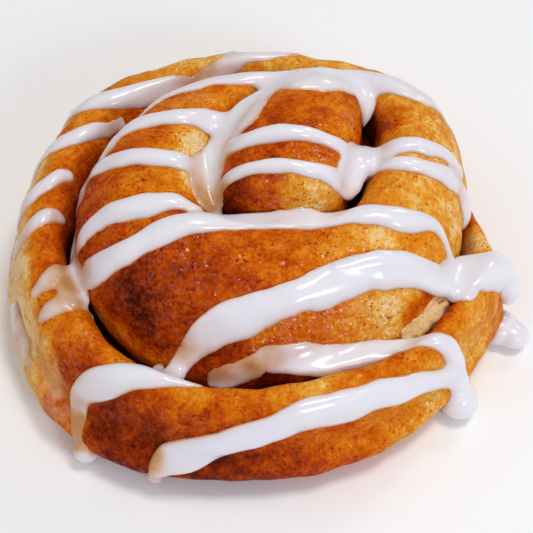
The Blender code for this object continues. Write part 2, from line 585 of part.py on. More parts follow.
def paint(piece, *looks):
    piece.data.materials.clear()
    for look in looks:
        piece.data.materials.append(look)


def centre(piece):
    """Moves the mesh so that the origin is the middle of the roll's base."""
    for vert in piece.data.vertices:
        vert.co.x -= MIDDLE[0] * MM
        vert.co.y -= MIDDLE[1] * MM


def clear_scene():
    for obj in list(bpy.data.objects):
        bpy.data.objects.remove(obj, do_unlink=True)


def main():
    clear_scene()
    path, ahead = strip_path()
    roll = loft("roll", strip_sections(path, ahead))

    points = [vert.co / MM for vert in roll.data.vertices]
    dough = BVHTree.FromPolygons(points, [face.vertices[:] for face in roll.data.polygons])
    added = [
        loft(name, stroke_sections(rounded_ends(rows), dough, ICING_STEP, ICING_RING))
        for name, rows in [*ICING.items(), ("lip", LIP)]
    ]
    added += [drop(f"drop_{i}", *numbers) for i, numbers in enumerate(DROPS)]
    joined(roll, added)

    points = [vert.co / MM for vert in roll.data.vertices]
    body = BVHTree.FromPolygons(points, [face.vertices[:] for face in roll.data.polygons])
    filling = loft("cinnamon_filling", filling_sections(path, ahead, body))

    paint(roll, material("baked_dough", (0.42, 0.16, 0.04), 0.5))
    paint(filling, material("cinnamon", (0.09, 0.025, 0.01), 0.6))
    for piece in (roll, filling):
        centre(piece)


main()
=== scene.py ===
# %% [markdown]
# # An iced cinnamon roll
#
# A bakery cinnamon roll is one long strip of soft dough, spread with cinnamon and sugar and
# rolled up. In the oven the middle rises above the rest, the top browns and the sides stay
# pale. Thick sugar icing is then poured over it in strokes, and while it is still warm it runs
# down into the grooves and over the edge, where it sets as drops.
#
# After the camera, the script builds it in that order: the dough, then the icing on the dough.
# Then come what each is made of, and the light. Lengths in the tables are millimetres. The model
# is in metres.

import math

import bmesh
import bpy
import numpy as np
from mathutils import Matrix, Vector, noise
from mathutils.bvhtree import BVHTree


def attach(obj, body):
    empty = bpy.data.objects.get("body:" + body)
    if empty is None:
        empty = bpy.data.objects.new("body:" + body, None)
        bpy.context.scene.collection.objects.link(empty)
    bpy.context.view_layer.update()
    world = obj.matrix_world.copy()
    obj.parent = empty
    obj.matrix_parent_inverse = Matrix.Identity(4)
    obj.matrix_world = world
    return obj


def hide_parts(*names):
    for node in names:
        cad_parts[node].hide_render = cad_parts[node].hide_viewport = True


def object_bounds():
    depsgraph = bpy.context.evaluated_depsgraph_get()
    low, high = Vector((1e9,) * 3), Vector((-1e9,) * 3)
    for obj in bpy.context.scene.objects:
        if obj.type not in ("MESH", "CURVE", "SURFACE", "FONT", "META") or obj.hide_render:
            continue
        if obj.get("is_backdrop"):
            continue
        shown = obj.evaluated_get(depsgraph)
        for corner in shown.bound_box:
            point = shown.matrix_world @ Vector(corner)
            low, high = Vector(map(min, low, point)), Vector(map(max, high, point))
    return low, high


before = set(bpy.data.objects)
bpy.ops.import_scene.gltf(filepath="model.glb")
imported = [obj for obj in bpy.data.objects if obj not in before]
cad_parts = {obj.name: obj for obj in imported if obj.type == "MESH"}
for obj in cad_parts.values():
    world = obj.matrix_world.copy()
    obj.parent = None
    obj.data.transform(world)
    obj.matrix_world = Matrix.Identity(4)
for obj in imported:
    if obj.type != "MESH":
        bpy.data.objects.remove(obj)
cad_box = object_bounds()
print("solids:", sorted(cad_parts))

MM = 0.001
MIDDLE = (0.2231, 5.5)  # of the whole roll in the tables' x and y, which is the frame's origin


def in_frame(x, y, z):
    """A place from the tables, as metres in the frame."""
    return Vector((x - MIDDLE[0], y - MIDDLE[1], z)) * MM


# %% [markdown]
# ## The camera
#
# The roll is seen from in front and well above, as one looks down at a plate. A long lens from
# near by gives the mild perspective of a small object photographed close up.

# %% Camera
ELEVATION = math.radians(52)
DISTANCE = 0.260
LOOKS_AT = in_frame(0, 0, 16)
FOCAL_PIXELS = 1300
PICTURE_PIXELS = 533

camera_data = bpy.data.cameras.new("camera")
camera_data.sensor_width = 36
camera_data.lens = FOCAL_PIXELS / PICTURE_PIXELS * camera_data.sensor_width
camera_data.clip_start = 0.01
camera = bpy.data.objects.new("camera", camera_data)
bpy.context.scene.collection.objects.link(camera)
back = Vector((0, -math.cos(ELEVATION), math.sin(ELEVATION)))
camera.location = LOOKS_AT + back * DISTANCE
camera.rotation_euler = (-back).to_track_quat("-Z", "Y").to_euler()
bpy.context.scene.camera = camera
print("lens", round(camera_data.lens, 1), "mm")

# %% [markdown]
# ## The strip of dough
#
# The strip could be modelled turn by turn, but it is one piece, so it is swept: a cross-section
# is drawn along a spiral path. The table gives the path from the tongue in the middle out to
# the tail, with the strip's width, the height of its crest, how much lower its outer shoulder
# is, and how far its outer wall swells where no turn leans on it. A smooth curve through the
# rows fills in between.

# %% The path of the strip
STRIP = [  # x, y, width, height of the crest, fall of the outer shoulder, swell of the wall
    (3.1, 7.6, 24.8, 40, 0, 0),  # the tongue, rolled up in the middle
    (4.1, 14, 25.2, 41, 0, 0),
    (7.3, 21, 23.4, 40.5, 0, 0),
    (10, 28, 20, 39.5, 1, 0),
    (10, 33.5, 13, 38, 2, 0),  # the turn at the back
    (3.5, 35.7, 7.5, 36, 2, 0),
    (-7, 33.2, 12, 36.5, 3, 0),
    (-16.5, 26.5, 18.5, 37.5, 4, 0),
    (-22.5, 17.5, 22.5, 38.5, 5, 0),  # second turn, left
    (-25, 4, 25.5, 38, 6, 0),
    (-20.5, -7.5, 27, 37, 9, 0),
    (-10, -14, 27.5, 36.5, 12, 0),  # second turn, front
    (2.5, -14.8, 26.6, 36.5, 13, 0),
    (13, -12.2, 25, 36, 12, 0),
    (22.5, -6.3, 23.6, 36, 10, 0),
    (28.6, 4, 20.6, 36, 8, 0),  # second turn, right
    (31, 17, 19.6, 36, 7, 0.6),
    (30, 29, 17, 34.5, 5, 3),
    (23, 38.5, 13, 33, 4, 3),
    (9, 44, 10.5, 32, 3, 3),  # outer turn, back
    (-8, 45.5, 10.5, 31.5, 3, 3),
    (-24, 41.5, 12, 30.5, 3, 3),
    (-36, 32, 13.5, 29.5, 3, 3),
    (-43, 17, 12.5, 28, 3, 3),  # outer turn, left
    (-45, 2, 11, 27, 3, 2.6),
    (-41.5, -12, 11, 26, 3, 3.4),
    (-33, -24.5, 11, 25, 3, 4.4),
    (-20.2, -32.8, 9.6, 24.5, 3, 4.6),  # outer turn, front
    (-2, -35.8, 8.2, 24, 3, 3.4),
    (14.5, -31.7, 9.1, 23.5, 3, 3),
    (28.9, -24.5, 6.6, 23, 3, 2.4),
    (38.5, -13.2, 6.6, 23, 2, 1.6),  # the tail
    (43, -4, 8.8, 21.5, 1, 1),
    (43, 2.4, 6.6, 20.4, 1, 1),
    (42.3, 8, 4.8, 19.4, 1, 1),
    (41.8, 13, 3, 18.4, 1, 1),
]
print("rows along the strip:", len(STRIP))

# %% A smooth curve through rows of numbers


def smooth_path(rows, step, parts=24, axes=2, least=2):
    """The rows joined by a curve through them all, first in so many parts each, then with a
    point every step, measured in plan or in space."""
    rows = np.array(rows, float)
    padded = np.vstack([2 * rows[0] - rows[1], rows, 2 * rows[-1] - rows[-2]])
    fine = []
    for a, b, c, d in zip(padded, padded[1:], padded[2:], padded[3:]):
        for t in np.linspace(0, 1, parts, endpoint=False):
            square = (2 * a - 5 * b + 4 * c - d) * t * t
            cube = (3 * b - a - 3 * c + d) * t**3
            fine.append(0.5 * (2 * b + (c - a) * t + square + cube))
    fine = np.array(fine + [rows[-1]])
    gaps = np.linalg.norm(np.diff(fine[:, :axes], axis=0), axis=1)
    along = np.concatenate([[0], np.cumsum(gaps)])
    wanted = np.linspace(0, along[-1], max(least, round(along[-1] / step) + 1))
    return np.stack([np.interp(wanted, along, column) for column in fine.T], axis=1)


def directions(path):
    """Unit vectors along a path in plan."""
    ahead = np.gradient(path[:, :2], axis=0)
    return ahead / np.linalg.norm(ahead, axis=1)[:, None]


print("points through the strip's rows, 1 mm apart:", len(smooth_path(STRIP, 1)))

# %% [markdown]
# ## The walls between the turns
#
# Where one turn lies against the next, the widths in the table could be set so that they just
# fit, but then each change of the path would upset them. Instead the distance to the next turn
# is measured at stations along the path, and a wall is held back where it would come too near,
# so that the slot between the turns stays open for the filling.

# %% Hold the walls back
TURN_ROW = 5  # the row at the tight turn at the back
STATION = 3.9  # between the places where the walls are measured against each other
SLOT = 1.8  # kept open between one turn and the next
TAIL_ROW, TAIL_SLOT = 32, 0.3  # from this row on the tail lies closer
NEXT_TURN = 12  # stations: the next turn is met no sooner than this far on
TONGUE_END = 3  # stations before the tight turn: from there on nothing meets the inner wall
STRAIGHT = 1e-3  # 1 / mm: a path that bends less counts as straight
TIGHTEST = 0.85  # of the bend's radius is the most that the strip may reach into a bend
STEP = 0.7  # from one finished cross-section to the next


def distance_along(start, way, line):
    """How far from start, going one way, a line in plan is crossed first."""
    nearest = math.inf
    for a, b in zip(line, line[1:]):
        edge = b - a
        cross = way[0] * edge[1] - way[1] * edge[0]
        if abs(cross) < 1e-9:  # the way and this piece of the line are parallel
            continue
        gap = a - start
        reach = (gap[0] * edge[1] - gap[1] * edge[0]) / cross
        share = (gap[0] * way[1] - gap[1] * way[0]) / cross
        if reach > 0 and 0 <= share <= 1:
            nearest = min(nearest, reach)
    return nearest


def strip_path():
    """The strip's places: x, y, reach to the inner wall, reach to the outer wall, crest, fall,
    swell and the number of the row. A wall is held back where it would meet the next turn."""
    rows = smooth_path([(*row, number) for number, row in enumerate(STRIP)], STATION)
    rows[:, 5] = np.maximum(rows[:, 5], 0)
    ahead = directions(rows)
    outward = np.stack([ahead[:, 1], -ahead[:, 0]], axis=1)
    heading = np.unwrap(np.arctan2(ahead[:, 1], ahead[:, 0]))
    radius = 1 / np.maximum(np.gradient(heading) / STATION, STRAIGHT)
    inner = np.minimum(rows[:, 2] / 2, TIGHTEST * radius)
    outer = rows[:, 2] / 2
    edge = rows[:, :2] - outward * inner[:, None]
    edge[rows[:, 6] > TAIL_ROW] += (SLOT - TAIL_SLOT) * outward[rows[:, 6] > TAIL_ROW]
    turn_at = int(np.argmin(np.linalg.norm(rows[:, :2] - STRIP[TURN_ROW][:2], axis=1)))
    for i, (row, way) in enumerate(zip(rows, outward)):
        reach = distance_along(row[:2], way, edge[max(i + NEXT_TURN, turn_at) :])
        outer[i] = min(outer[i], reach - SLOT)
        if i < turn_at - TONGUE_END:
            reach = distance_along(row[:2], -way, edge[turn_at:])
            inner[i] = min(inner[i], reach - SLOT)
    return smooth_path(np.column_stack([rows[:, :2], inner, outer, rows[:, 3:]]), STEP)


places = strip_path()
print("cross-sections along the strip:", len(places))

# %% [markdown]
# ## The cross-section
#
# Seen end on, the strip has straight walls where the turns lean on each other, a top that
# rounds over between a circle and a box, and a belly on the outside of the roll that tucks in
# where it stands on the tray. Each end of the strip closes in a cap of shrinking sections.

# %% One cross-section
GROOVE = 10.0  # how far the top rounds down from its crest to a seam
TOP_POWER = 2.3  # 2 is a round top, more is squarer
TUCK = 6.0  # how far a free outer wall draws in where it stands
TOP_POINTS = 55
WALL_POINTS = 11
WALL_LEVELS = [k / WALL_POINTS for k in range(WALL_POINTS)]
FALL_POWER = 1.5  # 1 falls evenly from the inner to the outer shoulder, more falls later


def section(place, ahead, squeeze=1.0):
    """One closed cross-section: up the inner wall, over the top, down the outer wall."""
    x, y, inner_reach, outer_reach, crest, fall, swell = place[:7]
    outward = (ahead[1], -ahead[0])
    inner = crest - GROOVE
    outer = crest - fall - GROOVE
    left = -inner_reach * squeeze
    right = outer_reach * squeeze
    points = [(left, inner * level) for level in WALL_LEVELS]
    for k in range(TOP_POINTS):
        turn = math.pi * k / (TOP_POINTS - 1)
        across = -math.copysign(abs(math.cos(turn)) ** (2 / TOP_POWER), math.cos(turn))
        rise = math.sin(turn) ** (2 / TOP_POWER) if 0 < k < TOP_POINTS - 1 else 0.0
        share = (across + 1) / 2
        height = inner + (outer - inner) * share**FALL_POWER + GROOVE * rise * squeeze
        points.append((left + (right - left) * share, height))
    for level in reversed(WALL_LEVELS):  # the belly is widest at half height
        out = 4 * swell * level * (1 - level) - min(TUCK, 2 * swell) * (1 - level) ** 3
        points.append((right + out * squeeze, outer * level))
    return [(x + outward[0] * a, y + outward[1] * a, height) for a, height in points]


print("points round each cross-section:", len(section(places[0], (0, 1))))

# %% All the cross-sections
CAP_SECTIONS, CAP_GAP = 14, 0.6  # in each rounded end, the last a bit short of the tip
CAP_REACH = (0.57, 1.0)  # how far the two ends round out, as a share of half the width there
CAP_POWER = (3.3, 2.0)  # 2 is a round end, more is squarer


def strip_sections(places):
    """All the cross-sections, with a rounded cap at each end, and the row number of each."""
    ahead = directions(places)
    rings = [section(place, way) for place, way in zip(places, ahead)]
    rows = list(places[:, 7])
    for end, sign, share, power in (
        (0, -1, CAP_REACH[0], CAP_POWER[0]),
        (len(places) - 1, 1, CAP_REACH[1], CAP_POWER[1]),
    ):
        half = (places[end][2] + places[end][3]) / 2
        for k in range(1, CAP_SECTIONS + 1):
            turn = math.pi / 2 * k / (CAP_SECTIONS + CAP_GAP)
            place = places[end].copy()
            place[:2] += ahead[end] * sign * share * half * math.sin(turn) ** (2 / power)
            cap = section(place, ahead[end], math.cos(turn) ** (2 / power))
            at = 0 if end == 0 else len(rings)
            rings.insert(at, cap)
            rows.insert(at, places[end][7])
    return rings, rows


dough_rings, dough_rows = strip_sections(places)
print("cross-sections with the caps:", len(dough_rings))

# %% [markdown]
# ## The tight bend
#
# In the tight turn at the back the cross-sections cross each other on the inside of the bend,
# and the base would fold over itself. The path could be made wider there, but the real turn is
# that tight. So the inner wall is evened in plan until it runs forwards again.

# %% Even the tight bend
FOLDED = -0.5  # square mm of base between two cross-sections: below 0 it runs backwards
BEND_ROWS = 10  # cross-sections before and after a fold that are evened with it
UNFOLDING = 110  # passes over the inner wall of the bend


def unfolded(rings):
    """The rings, with the inner wall evened in plan where the tight bend folds it over."""
    points = np.array(rings)
    wall = points[:, : len(WALL_LEVELS) + 1, :2]
    step = np.diff(wall[:, 0], axis=0)
    across = points[:-1, -1, :2] - wall[:-1, 0]
    onward = across[:, 0] * step[:, 1] - across[:, 1] * step[:, 0]
    folds = np.flatnonzero(onward * np.sign(np.median(onward)) < FOLDED)
    first, last = folds[0] - BEND_ROWS, folds[-1] + BEND_ROWS
    for _ in range(UNFOLDING):
        between = (wall[first - 1 : last - 1] + wall[first + 1 : last + 1]) / 2
        wall[first:last] += (between - wall[first:last]) / 2
    print("cross-sections evened in the tight bend:", last - first)
    return points.tolist()


dough_rings = unfolded(dough_rings)

# %% [markdown]
# ## Roll a sheet into a skin
#
# A skin through many rings of points could be extruded ring by ring. It is quicker to start
# from one flat grid with a row for each ring, move its points onto the rings, and weld its two
# long edges, just as a sheet is rolled into a tube. The open ends are then filled.

# %% Skins from grids


def skin_through(bm, rings):
    """Adds a closed skin through the rings to the bmesh. Gives its vertices by row, column."""
    count = len(rings[0])
    grid = bmesh.ops.create_grid(bm, x_segments=count, y_segments=len(rings) - 1, size=1.0)
    verts = grid["verts"]
    for i, vert in enumerate(verts):
        row, column = divmod(i, count + 1)
        vert.co = in_frame(*rings[row][column % count])
    rows = [verts[k : k + count + 1] for k in range(0, len(verts), count + 1)]
    bmesh.ops.weld_verts(bm, targetmap={row[-1]: row[0] for row in rows})
    for row in (rows[0][:-1], rows[-1][:-1]):
        loop = {edge for vert in row for edge in vert.link_edges if edge.is_boundary}
        bmesh.ops.contextual_create(bm, geom=list(loop))
    return [row[:-1] for row in rows]


def finished(name, bm):
    """The bmesh as an object at the origin, smooth shaded, with its faces outwards."""
    bmesh.ops.recalc_face_normals(bm, faces=bm.faces)
    mesh = bpy.data.meshes.new(name)
    bm.to_mesh(mesh)
    bm.free()
    mesh.shade_smooth()
    made = bpy.data.objects.new(name, mesh)
    bpy.context.scene.collection.objects.link(made)
    return made


# %% The dough's skin
dough_bm = bmesh.new()  # its points keep their row, and how far across the top they are
row_layer = dough_bm.verts.layers.float.new("row")
column_layer = dough_bm.verts.layers.float.new("column")
skin = skin_through(dough_bm, dough_rings)
for row_number, row in zip(dough_rows, skin):
    for column, vert in enumerate(row):
        vert[row_layer] = row_number
        vert[column_layer] = (column - len(WALL_LEVELS)) / (TOP_POINTS - 1)
bmesh.ops.recalc_face_normals(dough_bm, faces=dough_bm.faces)
print("dough:", len(dough_bm.faces), "faces")

# %% [markdown]
# ## Unevenness
#
# Baked dough is never even: the crest sags and swells over a centimetre or so, gas bubbles
# lift the skin, and fine wrinkles form as it cools. Four sizes of smooth noise push the skin in
# and out along its normals. The base stays flat, because it baked on a tray.

# %% Push the skin in and out
SWELLS = [(14.0, 0.7), (6.5, 0.45), (3.2, 0.22), (1.7, 0.08)]  # size of a swell, how far it moves
FLAT_UP_TO = 1.5  # above the base


def ease(x):
    """0 to 1, with a smooth start and end."""
    x = min(max(x, 0.0), 1.0)
    return x * x * (3 - 2 * x)


def pushed(place, swells):
    """How far, in mm, swells of these sizes push the skin out at a place."""
    return sum(noise.noise(place / (size * MM)) * far for size, far in swells)


dough_bm.normal_update()
for vert in dough_bm.verts:
    grip = ease(vert.co.z / MM / FLAT_UP_TO)
    vert.co += vert.normal * pushed(vert.co, SWELLS) * MM * grip
dough = finished("dough", dough_bm)
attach(dough, "root")
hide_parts("roll")
print("swells of", [size for size, far in SWELLS], "mm")

# %% [markdown]
# ## Syrup in the seams
#
# Butter and sugar melt out of the filling in the oven, run down between the turns and set on
# the tray. It is a flat oval cake of syrup inside the roll, which shows only as the dark
# bottom of a seam. A cone with two caps makes it, stretched to the roll's outline.

# %% The set syrup
OVAL = (-2.3, 3.5, 51.0, 46.0)  # the roll's outline in plan: middle x, y and half lengths
SYRUP_REACH = 0.8  # of that outline, so that it stays inside the outer turn
SYRUP = (0.6, 8.0)  # its underside and its top
SYRUP_SIDES, SYRUP_TAPER = 96, 0.96  # sides of its outline, and its top's share of the foot

syrup_bm = bmesh.new()
bmesh.ops.create_cone(
    syrup_bm, cap_ends=True, segments=SYRUP_SIDES, radius1=1.0, radius2=SYRUP_TAPER, depth=1.0
)
middle = in_frame(*OVAL[:2], sum(SYRUP) / 2)
scale = Vector((OVAL[2] * SYRUP_REACH, OVAL[3] * SYRUP_REACH, SYRUP[1] - SYRUP[0])) * MM
for vert in syrup_bm.verts:
    vert.co = vert.co * scale + middle
seam_syrup = finished("seam_syrup", syrup_bm)
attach(seam_syrup, "root")
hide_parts("roll")
print("syrup in the seams up to", SYRUP[1], "mm")

# %% [markdown]
# ## The icing
#
# Icing could be painted on as colour, but it stands a millimetre or two up from the dough and
# rounds over at its edges, and that is what catches the light. It was poured from a spoon to
# and fro, so it is made the same way: each stroke is a row of places with a width and a height,
# in the order in which it ran. Where it came to rest at the foot, it set as a drop.

# %% The strokes: x, y, z, how wide the icing is, how far it stands up
ICING = {
    "back_band": [
        (-47, 33, 12, 3, 1.4), (-45, 33.5, 18, 5, 1.6), (-41, 33.8, 25.5, 5.5, 1.6),
        (-36, 33.6, 28.5, 5.5, 1.6), (-30, 34.8, 29.2, 5, 1.6), (-23, 37.5, 29, 4.2, 1.6),
        (-19, 39.2, 29.2, 3, 1.1), (-16.5, 40.2, 29.3, 2, 0.7),
    ],
    "back_pool": [
        (0.8, 30.8, 36.8, 5, 1.4), (3.2, 30.3, 37.6, 8, 1.5), (6.8, 30, 38.6, 9.2, 1.5),
        (11, 30.4, 38.2, 9.2, 1.5), (15.5, 31.5, 36, 8.6, 1.6), (19, 33, 33, 8, 1.7),
    ],
    "back_drip": [
        (19.5, 34.5, 32, 7.5, 1.8), (19.6, 31, 31.8, 6.4, 1.8), (19, 27.8, 31.4, 4.2, 1.5),
        (18.7, 25.8, 30.8, 2.6, 1.2),
    ],
    "back_film": [
        (-16.6, 39.6, 29.2, 2, 0.4), (-12.6, 41.8, 29.6, 3.8, 0.6), (-8, 43.6, 30.4, 4.6, 0.9),
        (-3, 45, 30.8, 4.2, 1.1), (2, 45.8, 30.8, 3, 1), (6.5, 45.8, 30.6, 2, 0.8),
    ],
    "back_run": [
        (-7.5, 46, 29, 4.2, 0.7), (-8.5, 49, 25, 3.8, 1), (-8.8, 51.5, 18, 3.4, 1.3),
        (-8.5, 51.8, 12, 3.4, 1.6),
    ],
    "far_left": [
        (-30.2, 30.4, 26.6, 1.9, 1.2), (-31.4, 29.4, 26.9, 1.5, 0.8),
        (-32.8, 28.2, 27.1, 2.2, 1.1), (-34.9, 26.4, 27.9, 3.2, 1.4), (-38, 24.6, 28.2, 3.9, 1.5),
        (-41.8, 23.2, 27.2, 4.3, 1.5), (-45.1, 23, 24.6, 4.6, 1.4), (-47.5, 21.5, 20, 4.8, 1.4),
        (-49.5, 19.8, 13, 4.2, 1.2),
    ],
    "left": [
        (-40, 15.5, 25.9, 2.8, 1.3), (-41.4, 14.7, 26.5, 3.5, 1.5), (-43.6, 12.7, 26.6, 3.8, 1.4),
        (-46.2, 11.2, 25.4, 3.8, 1.2), (-48.6, 9.6, 22.6, 4.2, 1), (-50.4, 8.6, 18.6, 4.4, 0.8),
        (-51.3, 8, 14, 4, 0.6),
    ],
    "left_front": [
        (-41.2, 6.2, 25, 3, 1.1), (-42.8, 5.2, 25.7, 3.8, 1.2), (-45, 3.6, 25.8, 3.8, 1.1),
        (-47.3, 2, 24.2, 3.8, 0.9), (-49.2, 0.6, 20.5, 4, 0.7), (-50.4, -0.8, 15, 3.6, 0.5),
    ],
    "upper": [
        (-33.2, 14.5, 30.5, 1.2, 0.7), (-31.8, 16.9, 31.8, 1.8, 0.9),
        (-29.5, 19.2, 33.3, 3.6, 1.4), (-26, 20.5, 35.2, 4.2, 1.6), (-21, 20.8, 36.5, 4.6, 1.7),
        (-16, 21, 36.6, 4.8, 1.7), (-11.5, 21.8, 36.2, 5.2, 1.6), (-7, 22.8, 35.6, 6, 1.5),
    ],
    "pool": [
        (1.6, 31.2, 36.8, 4, 1.5), (-2.2, 27.9, 36.2, 4.2, 1.5), (-4.7, 24.4, 35.6, 6.4, 1.4),
        (-7.2, 20.4, 35, 7, 1.3), (-8.7, 16.8, 34.6, 6.8, 1.2), (-9.8, 13.9, 34.2, 7, 1.2),
        (-11.3, 10.8, 34, 7.6, 1.2), (-11.8, 7.6, 33.4, 7.6, 1.2), (-11.6, 4.6, 32.4, 6.8, 1.2),
        (-11, 2.2, 31.2, 5.6, 1.1), (-10.6, 0.6, 30.2, 4.4, 1),
    ],
    "middle": [
        (-37.9, 8, 20, 1.6, 0.8), (-37.4, 10.8, 23, 2.4, 1.1), (-35.6, 12.6, 28, 3.6, 1.4),
        (-31.5, 11.7, 33, 4.4, 1.6), (-26.5, 10.8, 36, 4.5, 1.7), (-21, 10, 37, 4.4, 1.7),
        (-17, 9.6, 36.6, 4.6, 1.7), (-13.6, 9.8, 35, 5.4, 1.5),
    ],
    "lower": [
        (-37.2, -3.8, 20.5, 3, 1.1), (-36.4, -2.8, 24.5, 3.4, 1.3), (-34.3, -1.7, 29, 3.8, 1.5),
        (-30.5, -1.2, 32.5, 4.5, 1.6), (-25, -1, 35, 5.2, 1.7), (-20.5, -0.6, 35.7, 5.1, 1.7),
        (-17, -0.2, 35.6, 3.8, 1.5), (-13, -0.8, 33.5, 2.6, 1.1),
    ],
    "seam_run": [
        (-35.8, 9.5, 29.5, 1.4, 0.6), (-37, 5, 25, 1.6, 0.7), (-37.6, 0.5, 22.5, 2.2, 0.8),
        (-37.2, -3.8, 22, 3, 0.9), (-36.4, -6.6, 22.2, 3, 0.9), (-35.4, -8.6, 22.6, 2.2, 0.8),
    ],
    "left_sheet": [
        (-37.2, -4.8, 21.8, 5, 0.7), (-39.2, -8, 24.2, 6, 0.8), (-41.2, -10.4, 25, 5.2, 0.9),
        (-43.2, -12, 24.2, 3.8, 0.9),
    ],
    "left_join": [
        (-38, -7.4, 22.4, 5.4, 0.7), (-37.2, -11, 23.4, 6.4, 0.7), (-36.6, -14.8, 24, 6.2, 0.7),
    ],
    "left_lobe": [
        (-33.8, -15, 22.2, 2.6, 0.6), (-35.8, -15.6, 24.4, 4, 0.7), (-38.4, -16, 24.8, 4.6, 0.9),
        (-40.6, -16.8, 24.2, 4, 0.9), (-41.8, -17.4, 23, 3.2, 0.8),
    ],
    "left_wall": [
        (-50.6, -8, 12, 3.6, 0.9), (-49.3, -12, 11.5, 4.4, 0.8), (-47.6, -16, 11, 4.2, 0.7),
        (-46.2, -19, 10.5, 3.2, 0.5),
    ],
    "brow": [
        (-34.5, -8.3, 24.5, 5.2, 1.5), (-31.5, -9.2, 27.5, 6, 1.9), (-27.5, -9.2, 30.8, 5.2, 1.9),
        (-22.9, -7.7, 33.1, 5, 1.8), (-18.5, -6.3, 34.5, 5.6, 1.8), (-13, -4.8, 34.8, 5.2, 1.8),
        (-6.5, -3.1, 34.4, 5.6, 1.8), (0, -2.3, 34.1, 5.7, 1.8), (4.6, -2, 34, 5.4, 1.8),
        (8.2, -1.85, 34.2, 5.6, 1.9), (12.5, -2, 34, 4.6, 1.7), (18, -1.4, 33.8, 5, 1.8),
        (24.5, -2, 32.9, 5, 1.8), (29, -1.4, 31.2, 4.4, 1.6), (31.9, -0.9, 29.4, 3.4, 1.5),
        (34, -2.2, 27.2, 2.8, 1.4), (35.4, -4.2, 25.2, 2.6, 1.3), (36.4, -6.2, 23.4, 3.4, 1.3),
    ],
    "diagonal": [
        (37.2, -8.8, 23, 6.4, 1.8), (33.2, -9.8, 25.2, 5.8, 1.9), (28.5, -10.2, 27.8, 6, 2.1),
        (22.3, -11.6, 29.8, 6.3, 2.2), (15.5, -13.4, 30.2, 6.7, 2.2),
        (9.5, -16.3, 29.6, 6.5, 2.2), (3, -18.6, 28.9, 5.7, 2.1), (-3.5, -20.6, 27.8, 6.6, 2.1),
        (-9, -22, 26.3, 6.3, 1.9), (-13.3, -23.8, 23.8, 4.6, 1.4), (-15.9, -25.6, 21.6, 3.9, 1.1),
        (-17.2, -28.2, 21.4, 4.4, 1), (-17.2, -30.8, 22.8, 3.6, 1.1),
    ],
    "seam_web": [
        (-20.4, -25, 19.4, 2.4, 0.5), (-19.8, -27.4, 20.8, 3.8, 0.6),
        (-19.2, -30.2, 22.6, 4.4, 0.8),
    ],
    "seam_film": [
        (-10.2, -27.4, 18.6, 2.4, 0.5), (-8.2, -27.6, 18.8, 3, 0.6), (-5.4, -27.6, 19.4, 3, 0.8),
        (-1.6, -26.6, 20.8, 3.6, 0.9),
    ],
    "tail_cover": [
        (35.5, -7.2, 23.4, 5, 1.6), (38.8, -6.4, 23.2, 9.6, 2.1), (42.8, -5, 22.2, 9.6, 2.3),
        (46.6, -3.2, 18.8, 8.4, 2.7), (49, -2, 14, 7.2, 3.2),
    ],
    "right_low": [
        (-0.5, -25.9, 21.8, 3.4, 0.9), (3, -26, 22.2, 4.2, 1.3), (6.8, -26, 22.2, 5, 1.5),
        (10.8, -25.8, 21.8, 5.4, 1.7), (15.2, -24.6, 21.5, 5.2, 1.8), (20, -23.4, 21.4, 4.8, 1.8),
        (25, -22.4, 21.5, 4.2, 1.6), (29.5, -22.1, 21.6, 3.8, 1.5), (33, -21.9, 19.6, 4, 1.6),
        (35.6, -21.7, 14.5, 4.6, 1.8), (36.8, -22.1, 9.5, 5, 2.1), (37.2, -22.5, 7, 5.5, 2.2),
    ],
    "front_band": [
        (-20.4, -40.3, 6.5, 3.4, 1.4), (-19, -40, 9, 4.8, 1.6), (-14.5, -39.6, 11, 6.8, 1.9),
        (-8, -39.9, 14.6, 6.6, 2), (-1.5, -39.4, 17.2, 6.3, 2), (5.5, -37.3, 19.4, 6, 1.9),
        (12, -35.6, 19.7, 6.1, 2), (19.5, -32.5, 19.1, 6.1, 2), (26, -29.4, 17.2, 6.2, 1.9),
        (31.5, -25.6, 14.5, 5.8, 1.7), (35.5, -22.6, 10.5, 5, 1.6),
    ],
    "corner": [
        (-34.6, -34.6, 5.4, 3.6, 1), (-36.2, -33.3, 10, 3.8, 0.7), (-36.5, -31.6, 14, 4.6, 0.8),
        (-33.3, -30.3, 18, 6, 1.4), (-28.5, -30.8, 21.9, 5.6, 1.8), (-23, -30.8, 23.4, 5.4, 1.9),
        (-18.5, -31.7, 23.4, 3.8, 1.6), (-14.5, -32.4, 23.3, 2.4, 1.1),
        (-12, -32.8, 23.3, 1.7, 0.7),
    ],
    "tongue_upper": [
        (-9.4, 15.2, 32, 4.2, 1.3), (-7.4, 13.3, 35, 4.2, 1.5), (-4.6, 12.3, 38, 4, 1.6),
        (-1.3, 12.4, 40.1, 3.9, 1.7), (2.6, 12.5, 40.9, 4.1, 1.8), (6.4, 12.6, 41, 3.7, 1.7),
        (10.2, 12.7, 40.1, 3.2, 1.6), (13.1, 12.4, 38.6, 3.4, 1.6), (15.8, 12.2, 36.2, 4.2, 1.7),
        (18.8, 13.8, 34.2, 6, 1.7), (22.5, 14.9, 33.4, 5.2, 1.6), (26.8, 15.3, 34.2, 4.2, 1.6),
        (31.5, 15.5, 33.3, 4.4, 1.6), (35.5, 15.6, 30.6, 4.2, 1.6), (38, 14.4, 27.8, 4, 1.4),
    ],
    "tongue_lower": [
        (-10.4, 0.6, 29.5, 1.8, 0.9), (-9.8, 3, 31, 2.4, 1.1), (-8.2, 5, 33.4, 3, 1.4),
        (-5, 5.3, 36, 3.2, 1.6), (-1.2, 5.2, 38, 3.2, 1.7), (2.5, 5.2, 39, 3.3, 1.7),
        (6.3, 4.8, 38.9, 3.6, 1.7), (10.1, 4.7, 37.5, 4, 1.8), (12.6, 5, 35.8, 4.6, 1.8),
